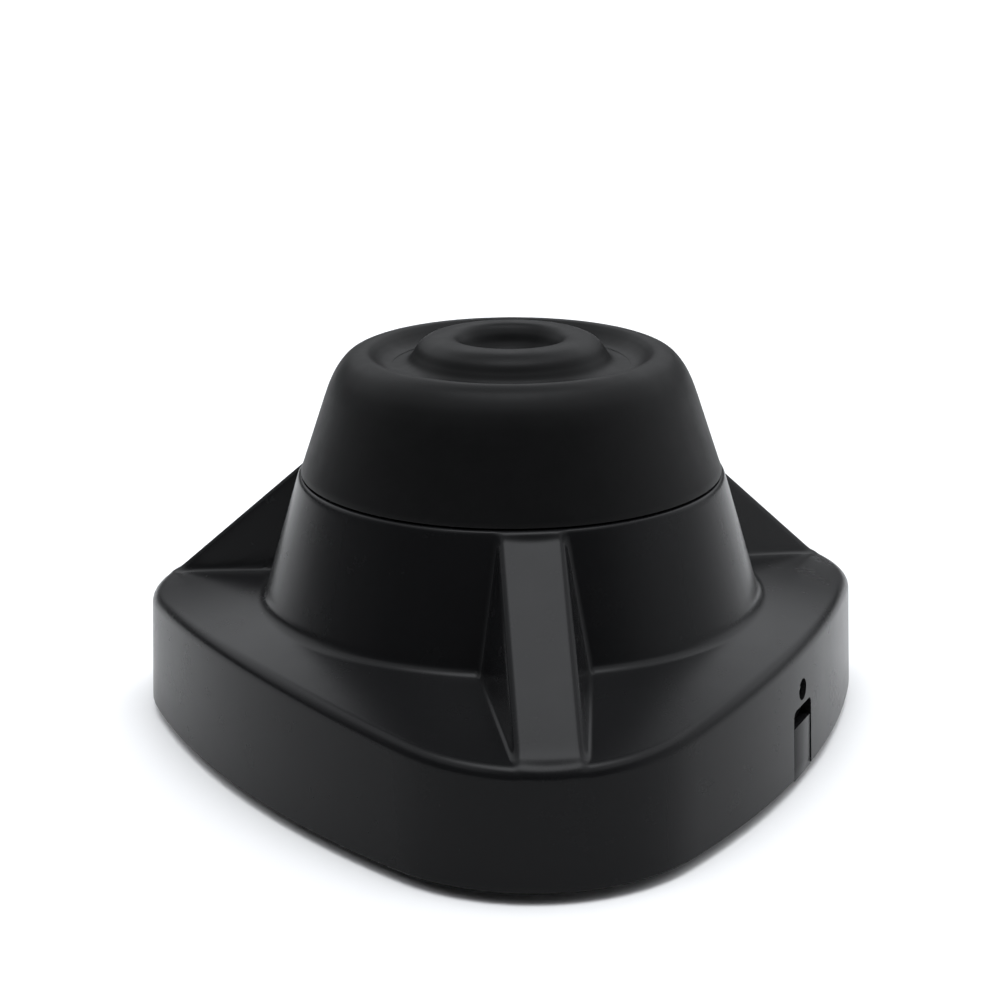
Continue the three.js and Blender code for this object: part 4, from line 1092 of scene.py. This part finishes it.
MOTOR_Z = (9.7, 39.7)
CAN_R = 12.2
CAN_BORE = 11.3
VENTS = 4


def motor():
    """Can, end cap, magnets, fixing screws and terminals."""
    low, high = MOTOR_Z
    wall = [(CAN_BORE, low), (CAN_R, low), (CAN_R, high), (3.0, high), (3.0, high + 1.5), (1.45, high + 1.5),
            (1.45, high - 1.2), (CAN_BORE, high - 1.2)]
    can = soft_turned("motor_can_shell", wall, size=0.7, segments=128)
    for x in (MOTOR_SCREW_AT, -MOTOR_SCREW_AT):
        carve(can, disc_at("screw_hole", 1.4, high - 3, high + 1, (x, 0), 32))
    for k in range(VENTS):
        vent = lying_disc("vent", 1.5, 10.6, 14, 0, 15)
        carve(can, moved(vent, spin=45 + 360 / VENTS * k))
    put(edged(can, 0.12, 2, 45), "motor_can")
    cap_profile = [(0, 7), (11, 7), (11, 12), (2.4, 12), (2.4, 9), (0, 9)]
    cap = soft_turned("motor_end_cap_part", cap_profile, size=0.5)
    for x in ((5.4, 8.6), (-8.6, -5.4)):
        for y in ((-3.2, -2.0), (2.0, 3.2)):
            carve(cap, block("brush_pocket", x, y, (6, 7.8)))
    put(edged(cap, 0.15), "motor_end_cap")
    for name, side in (("right", 1), ("left", -1)):
        magnet = sector(f"motor_magnet_{name}_part", 8.7, 11.0, 62, 13.5, 35.5)
        put(edged(moved(magnet, spin=0 if side > 0 else 180), 0.3), f"motor_magnet_{name}")
        fixing = screw(f"motor_screw_{name}_part", 1.05, 36.9, PLATFORM_Z[1] + GAP, 2.2, 1.5)
        put(moved(fixing, shift=(MOTOR_SCREW_AT * side, 0, 0)), f"motor_screw_{name}")
        x = 7 * side
        blade = block(f"motor_terminal_{name}_part", (x - 0.3, x + 0.3), (-1.3, 1.3), (4.2, 6.7))
        eye = disc_at("eye", 0.5, -2, 2, segments=24)
        carve(blade, moved(eye, shift=(x, 0, 5.1), tilt=("Y", 90)))
        put(edged(blade, 0.08), f"motor_terminal_{name}")


# ---- crank

CRANK_SPIN = 90
ECCENTRIC = 2.0
HUB_Z = (45.6, 53.0)
BEARING_Z = (54.6, 59.6)
# the way from one of the rotor's poles to the next, as radius and angle
NECK = ((6.7, 48), (6.2, 18), (3.6, 30), (3.6, 90), (6.2, 102), (6.7, 72))
POLES = 3
GRUB_END = 14.5


def crank():
    """Shaft, rotor, eccentric hub, counterweight and grub screw."""
    low, high = HUB_Z
    seat_z, pin_z = BEARING_Z[0] - GAP, BEARING_Z[1] + 0.6
    ends = (9.6, high - 1.2)
    shaft = [(0, ends[0]), (1.15, ends[0]), (1.15, ends[1]), (0, ends[1])]
    put(soft_turned("motor_shaft_part", shaft), "motor_shaft")
    outline = []
    for pole in range(POLES):
        outline += [at_angle(8, 120 * pole + turn) for turn in np.linspace(-48, 48, 25)]
        outline += [at_angle(r, 120 * pole + turn) for r, turn in NECK]
    rotor = prism("motor_rotor_stack", outline, 15, 34)
    carve(rotor, disc_at("bore", 1.45, 10, 40))
    put(moved(edged(rotor, 0.2), spin=CRANK_SPIN), "motor_rotor")

    hub_profile = [(0, low), (7.5, low), (7.5, high), (0, high)]
    hub = soft_turned("eccentric_hub_part", hub_profile, size=0.5, segments=128)
    join(hub, disc_at("seat", 3.6, high - 1, seat_z, (ECCENTRIC, 0), 64))
    join(hub, disc_at("pin", 2.2, high - 1, pin_z, (ECCENTRIC, 0), 64))
    carve(hub, disc_at("bore", 1.45, low - 1, high - 0.8, segments=48))
    carve(hub, disc_at("pilot", 1.1, high + 1.5, pin_z + 0.4, (ECCENTRIC, 0), 32))
    middle_z = (low + high) / 2
    carve(hub, lying_disc("grub_hole", 1.6, -10, 0, 0, middle_z))
    put(moved(edged(hub, 0.15, 2, 50), spin=CRANK_SPIN), "eccentric_hub")
    weight = moved(sector("counterweight_part", 7.8, 16.5, 78, low + 0.4, high - 1.4, 60), spin=180)
    carve(weight, lying_disc("grub_way", 1.6, -20, 0, 0, middle_z))
    put(moved(edged(weight, 0.35, 3), spin=CRANK_SPIN), "counterweight")
    grub = disc_at("hub_grub_screw_part", 1.3, 1.6, GRUB_END, segments=40)
    carve(grub, drive_recess("hex", 0.75, GRUB_END, 1.6))
    grub = moved(edged(grub, 0.15), shift=(0, 0, middle_z), tilt=("Y", -90))
    put(moved(grub, spin=CRANK_SPIN), "hub_grub_screw")


BALLS = 7
BALL_R = 1.2
BALL_PITCH_R = 5.25


def bearing():
    """The bearing on the eccentric pin, its screw, and the carrier that holds the cup."""
    low, high = BEARING_Z
    mid = (low + high) / 2
    centre = (CUP_AXIS.x, CUP_AXIS.y)
    groove = [(3.9, mid - 1.1), (3.62, mid - 0.6), (3.52, mid), (3.62, mid + 0.6), (3.9, mid + 1.1)]
    inner = [(2.5, low), (3.9, low)] + groove + [(3.9, high), (2.5, high)]
    outer = [(6.6, high), (8.0, high), (8.0, low), (6.6, low)]
    outer += [(2 * BALL_PITCH_R - r, z) for r, z in groove]
    put(soft_turned("bearing_inner_ring", inner, centre, 0.25), "bearing_inner_race")
    put(soft_turned("bearing_outer_ring", outer, centre, 0.25, 128), "bearing_outer_race")
    band = [(4.9, mid - 0.7), (5.6, mid - 0.7), (5.6, mid + 0.7), (4.9, mid + 0.7)]
    cage = soft_turned("bearing_balls_and_cage", band, size=0.15)
    half_circle = arc((0, mid), BALL_R, -90, 90, 16)
    half_circle[0], half_circle[-1] = (0, mid - BALL_R), (0, mid + BALL_R)
    for ball in range(BALLS):
        join(cage, turned("ball", half_circle, at_angle(BALL_PITCH_R, 360 / BALLS * ball), 28))
    put(shade(moved(cage, shift=(*centre, 0)), 35), "bearing_balls")
    fixing = screw("bearing_retaining_screw_part", 0.8, 55.2, high + 0.9, 3.2, 1.4)
    put(moved(fixing, shift=(*centre, 0)), "bearing_retaining_screw")
    bowl = [(0, 67.0), (11.4, 67.0), (15.1, 63.0), (15.1, 60.8), (11.5, 60.8), (11.5, 54.3), (8.3, 54.3),
            (8.3, 59.9), (7.0, 59.9), (7.0, 62.6), (0, 62.6)]
    put(soft_turned("cup_carrier_part", bowl, centre, 0.4, 128), "cup_carrier")


# ---- switch, electronics and battery

CELL_R = 9.1
CELL_Y = 36.0
CELL_Z = 12.6
CELL_HALF = 32.4


def switch_plan():
    """The switch's extent outwards and across, before it is turned to its place."""
    depth, length = SWITCH_SIZE
    return (GUIDE_AT - depth / 2, GUIDE_AT + depth / 2), (-length / 2, length / 2)


def switch():
    """The start switch and its plunger."""
    low, high = SWITCH_Z
    body = block("start_switch_part", *switch_plan(), SWITCH_Z)
    carve(body, block("way", (GUIDE_AT - 1.1, GUIDE_AT + 1.1), (-1.8, 1.8), (high - 3.9, 40)))
    for y in (-3.25, 3.25):
        carve(body, lying_disc("pin_hole", 0.8, 10, 40, y, low + 1.6, 24))
    put(moved(edged(body, 0.2), spin=SWITCH_ANGLE), "start_switch")
    stem = ((GUIDE_AT - 0.8, GUIDE_AT + 0.8), (-1.5, 1.5), (high - 2.4, high + 1.7))
    plunger = edged(block("switch_plunger_part", *stem), 0.3, 3)
    put(moved(plunger, spin=SWITCH_ANGLE), "switch_plunger")


def stadium(width, high, z, steps=16):
    """An outline with round ends, as (along, height) points."""
    half = (width - high) / 2
    return arc((half, z), high / 2, -90, 90, steps) + arc((-half, z), high / 2, 90, 270, steps)


SOCKET_SIZE = (8.9, 3.0)
SOCKET_WALL = 0.3
LAMP_R = 1.45
LEG = 0.25  # half the thickness of a lamp's leg
# middle and size of each small component on the board
COMPONENTS = (
    (51.5, 8, 2.0, 1.6), (51.5, 11, 2.0, 1.6), (51.5, -8, 2.0, 1.6), (51.5, -11, 2.0, 1.6),
    (39, 4.5, 3.2, 0.8), (39, 2.2, 3.2, 0.8), (39, -3.5, 3.2, 0.8), (53.5, 5.8, 1.6, 1.2),
)


def board():
    """The control board, with its corner cut to clear the wall."""
    plan = [(36, -15), (50, -15), (56.2, -9.8), (56.2, 15), (36, 15)]
    panel = prism("control_board_panel", plan, *BOARD_Z)
    for at in BOARD_SCREWS:
        carve(panel, disc_at("hole", 1.2, 0, 20, at, 32))
    put(in_bay(edged(panel, 0.1)), "control_board")


def charge_socket():
    """The charging socket's shell and the tongue inside it."""
    back = SIDE_REACH - 9.7
    width, height = SOCKET_SIZE
    shell = upright_prism("charge_socket_shell", stadium(width, height, PORT_Z), back, back + 7.4)
    mouth = stadium(width - 2 * SOCKET_WALL, height - 2 * SOCKET_WALL, PORT_Z)
    carve(shell, upright_prism("mouth", mouth, back + 0.6, back + 9))
    # the shell and the tongue get nickel darkened almost to black, as painted shade inside the port's
    # opening
    put(edged(shell, 0.08), "charge_socket", "nickel_painted_shade")
    sides = ((back + 0.9, back + 6.6), (-3.2, 3.2), (PORT_Z - 0.35, PORT_Z + 0.35))
    tongue = edged(block("charge_socket_tongue_part", *sides), 0.12)
    put(in_bay(tongue), "charge_socket_tongue", "nickel_painted_shade")


def lamp():
    """The status lamp, lying on its side, with its legs bent down to the board."""
    profile = [(0, 0), (1.75, 0), (1.75, 0.8), (LAMP_R, 0.8), (LAMP_R, 4.4)]
    profile += arc((0, 4.45), LAMP_R, 0, 90, 10)
    lens = turned("status_led_lens", profile, segments=64)
    for y in (1.1, -1.1):
        across = (y - LEG, y + LEG)
        join(lens, block("leg", (-LEG, LEG), across, (-3.4, 0.5)))
        join(lens, block("leg", (-LEG, LED_Z - BOARD_Z[1] - GAP), across, (-3.4, -2.9)))
    put(in_bay(shade(lens, 35), (SIDE_REACH - 7.2, 0, LED_Z), ("Y", 90)), "status_led")


def on_the_board():
    """Connectors, charger chip, screws and small components."""
    lift = BOARD_Z[1] + GAP
    for name, y0 in (("battery", 6.8), ("motor", -12.8)):
        plug = block(f"{name}_connector_part", (43, 49), (y0, y0 + 6), (lift, lift + 4.8))
        for y in (y0 + 1.1, y0 + 3.2):
            carve(plug, block("way", (42, 47.5), (y, y + 1.7), (lift + 2.9, lift + 4.2)))
        carve(plug, block("key", (47.6, 50), (y0 + 2.2, y0 + 3.8), (lift + 1, lift + 6)))
        put(in_bay(edged(plug, 0.15)), f"{name}_connector")
    chip = block("charger_chip_part", (41.5, 46.5), (-2, 2), (lift, lift + 1.5))
    put(in_bay(edged(chip, 0.2)), "charger_chip")
    for k, at in enumerate(BOARD_SCREWS):
        fixing = screw(f"board_screw_{k + 1}_part", 0.9, 4.6, lift, 2.0, 1.3)
        put(in_bay(fixing, (*at, 0)), f"board_screw_{k + 1}")
    small = None
    for x, y, along, across in COMPONENTS:
        plan = ((x - along / 2, x + along / 2), (y - across / 2, y + across / 2))
        bit = block("board_components", *plan, (BOARD_Z[1] - 0.1, lift + 0.7))
        small = join(small, bit) if small else bit
    finish_piece(in_bay(edged(small, 0.1)), "base", LOOKS["chip_ceramic"], "black_epoxy")


def lying(name, profile, size):
    """A softened profile turned about the battery's axis, along x."""
    piece = turned(name, soften(profile, size), segments=96, angle=40)
    return moved(piece, shift=(0, CELL_Y, CELL_Z), tilt=("Y", 90))


def battery():
    """The cradle, the cell in its sleeve and the two contacts."""
    tray_end = 35.6
    tray_sides = ((-tray_end, tray_end), (CELL_Y - 9.6, CELL_Y + 9.6), (PLATE + GAP, 8.0))
    tray = block("battery_cradle_moulding", *tray_sides)
    for side in (1, -1):
        join(tray, block("end", sorted((34.1 * side, tray_end * side)), (CELL_Y - 8, CELL_Y + 8), (4, 15)))
    carve(tray, lying_disc("trough", CELL_R + GAP, -34.1, 34.1, CELL_Y, CELL_Z, 128))
    for x in (-24, -8, 8, 24):
        carve(tray, block("relief", (x - 5, x + 5), (CELL_Y - 20, CELL_Y + 20), (5.6, 20)))
    put(edged(tray, 0.25), "battery_cradle")
    end = CELL_HALF
    sleeve = [(6.6, -end), (CELL_R, -end), (CELL_R, end - 0.8), (5.9, end - 0.8), (5.9, end - 1.3),
              (8.6, end - 1.5), (8.6, 0.3 - end), (6.6, 0.3 - end)]
    put(lying("battery_cell_sleeve", sleeve, 0.6), "battery_cell")
    core = [(0, 0.05 - end), (6.5, 0.05 - end), (6.5, 0.4 - end), (8.5, 0.4 - end), (8.5, end - 1.6),
            (5.8, end - 1.4), (5.8, end - 0.85), (3.5, end - 0.85), (3.5, end), (0, end)]
    finish_piece(lying("battery_cell_can", core, 0.2), "base", LOOKS["nickel"], "nickel")
    near = end + GAP
    for name, side in (("positive", 1), ("negative", -1)):
        sides = (sorted((near * side, (near + 0.5) * side)), (CELL_Y - 4, CELL_Y + 4), (8.3, 16.6))
        strip = block(f"battery_contact_{name}_strip", *sides)
        bent = sorted((near * side, (near + 3.2) * side))
        join(strip, block("tab", bent, (CELL_Y - 1.5, CELL_Y + 1.5), (16.1, 16.6)))
        put(edged(strip, 0.1), f"battery_contact_{name}")


# ---- leads


def on_board(x, y, z):
    """A place given in the port side's own directions."""
    return tuple(port_frame((x, y, z)))


def by_switch(radius, turn, z):
    """A place beside the switch, turned on round the motor axis."""
    return (*at_angle(GUIDE_AT + radius, SWITCH_ANGLE + turn), z)


FLOOR_RUN = PLATE + 1.1
CELL_END = CELL_HALF + 4.4
PLUG_X = 42.7
LEAD_R = 0.6
LEADS = {
    "lead_battery_positive": [
        (CELL_END, CELL_Y + 1.0, 16.3), (CELL_END, CELL_Y - 8.6, 15.0), (36.8, 22.0, 9.0), (33.8, 12.0, 6.5),
        on_board(31.4, 12.6, 9.4), on_board(36.6, 11.0, 14.0), on_board(PLUG_X, 11.0, 14.0),
    ],
    "lead_battery_negative": [
        (-CELL_END, CELL_Y + 1.0, 16.3), (-CELL_END, CELL_Y - 9.0, 14.0), (-34.6, 20.0, 6.4),
        (-24.0, 21.8, FLOOR_RUN), (0, 20.6, FLOOR_RUN), (20.0, 21.8, FLOOR_RUN),
        (30.0, 16.0, FLOOR_RUN + 0.6), on_board(31.6, 8.6, 8.0), on_board(36.6, 8.6, 14.0),
        on_board(PLUG_X, 8.6, 14.0),
    ],
    "lead_motor_positive": [
        (8.3, 0, 4.4), (14.0, -1.0, 4.2), (21.0, -6.0, 5.0), on_board(31.0, -5.0, 9.0),
        on_board(36.4, -8.6, 14.0), on_board(PLUG_X, -8.6, 14.0),
    ],
    "lead_motor_negative": [
        (-8.3, 0, 4.4), (-13.0, -4.0, 4.2), (-11.6, -14.0, 4.2), (2.0, -19.0, 4.2),
        on_board(26.0, -10.8, 6.4), on_board(33.6, -9.0, 11.8), on_board(37.0, -10.9, 14.4),
        on_board(PLUG_X, -10.9, 14.4),
    ],
    "lead_switch_common": [
        by_switch(1.6, -15.6, 31.5), by_switch(3.6, -23, 27.0), by_switch(3.4, -20, 9.0),
        by_switch(6.4, -4, 4.0), by_switch(10.0, 24, 4.0), (-4.0, -38.0, 4.0), (12.0, -37.5, 4.6),
        on_board(33.2, -17.4, 9.4), on_board(38.0, -16.4, 12.4), on_board(40.6, -9.6, 13.0),
        on_board(PLUG_X, -9.75, 12.0),
    ],
}


def leads():
    """Insulated leads along their routes."""
    for node, points in LEADS.items():
        put(round_bar(f"{node}_insulation", curve_through(points, 14), LEAD_R), node)


BUILDERS = (
    camera, studio, housing, boot, cup, base_plate, feet, platform, springs, guides, motor, crank, bearing,
    switch, board, charge_socket, lamp, on_the_board, battery, leads,
)
for build in BUILDERS:
    build()
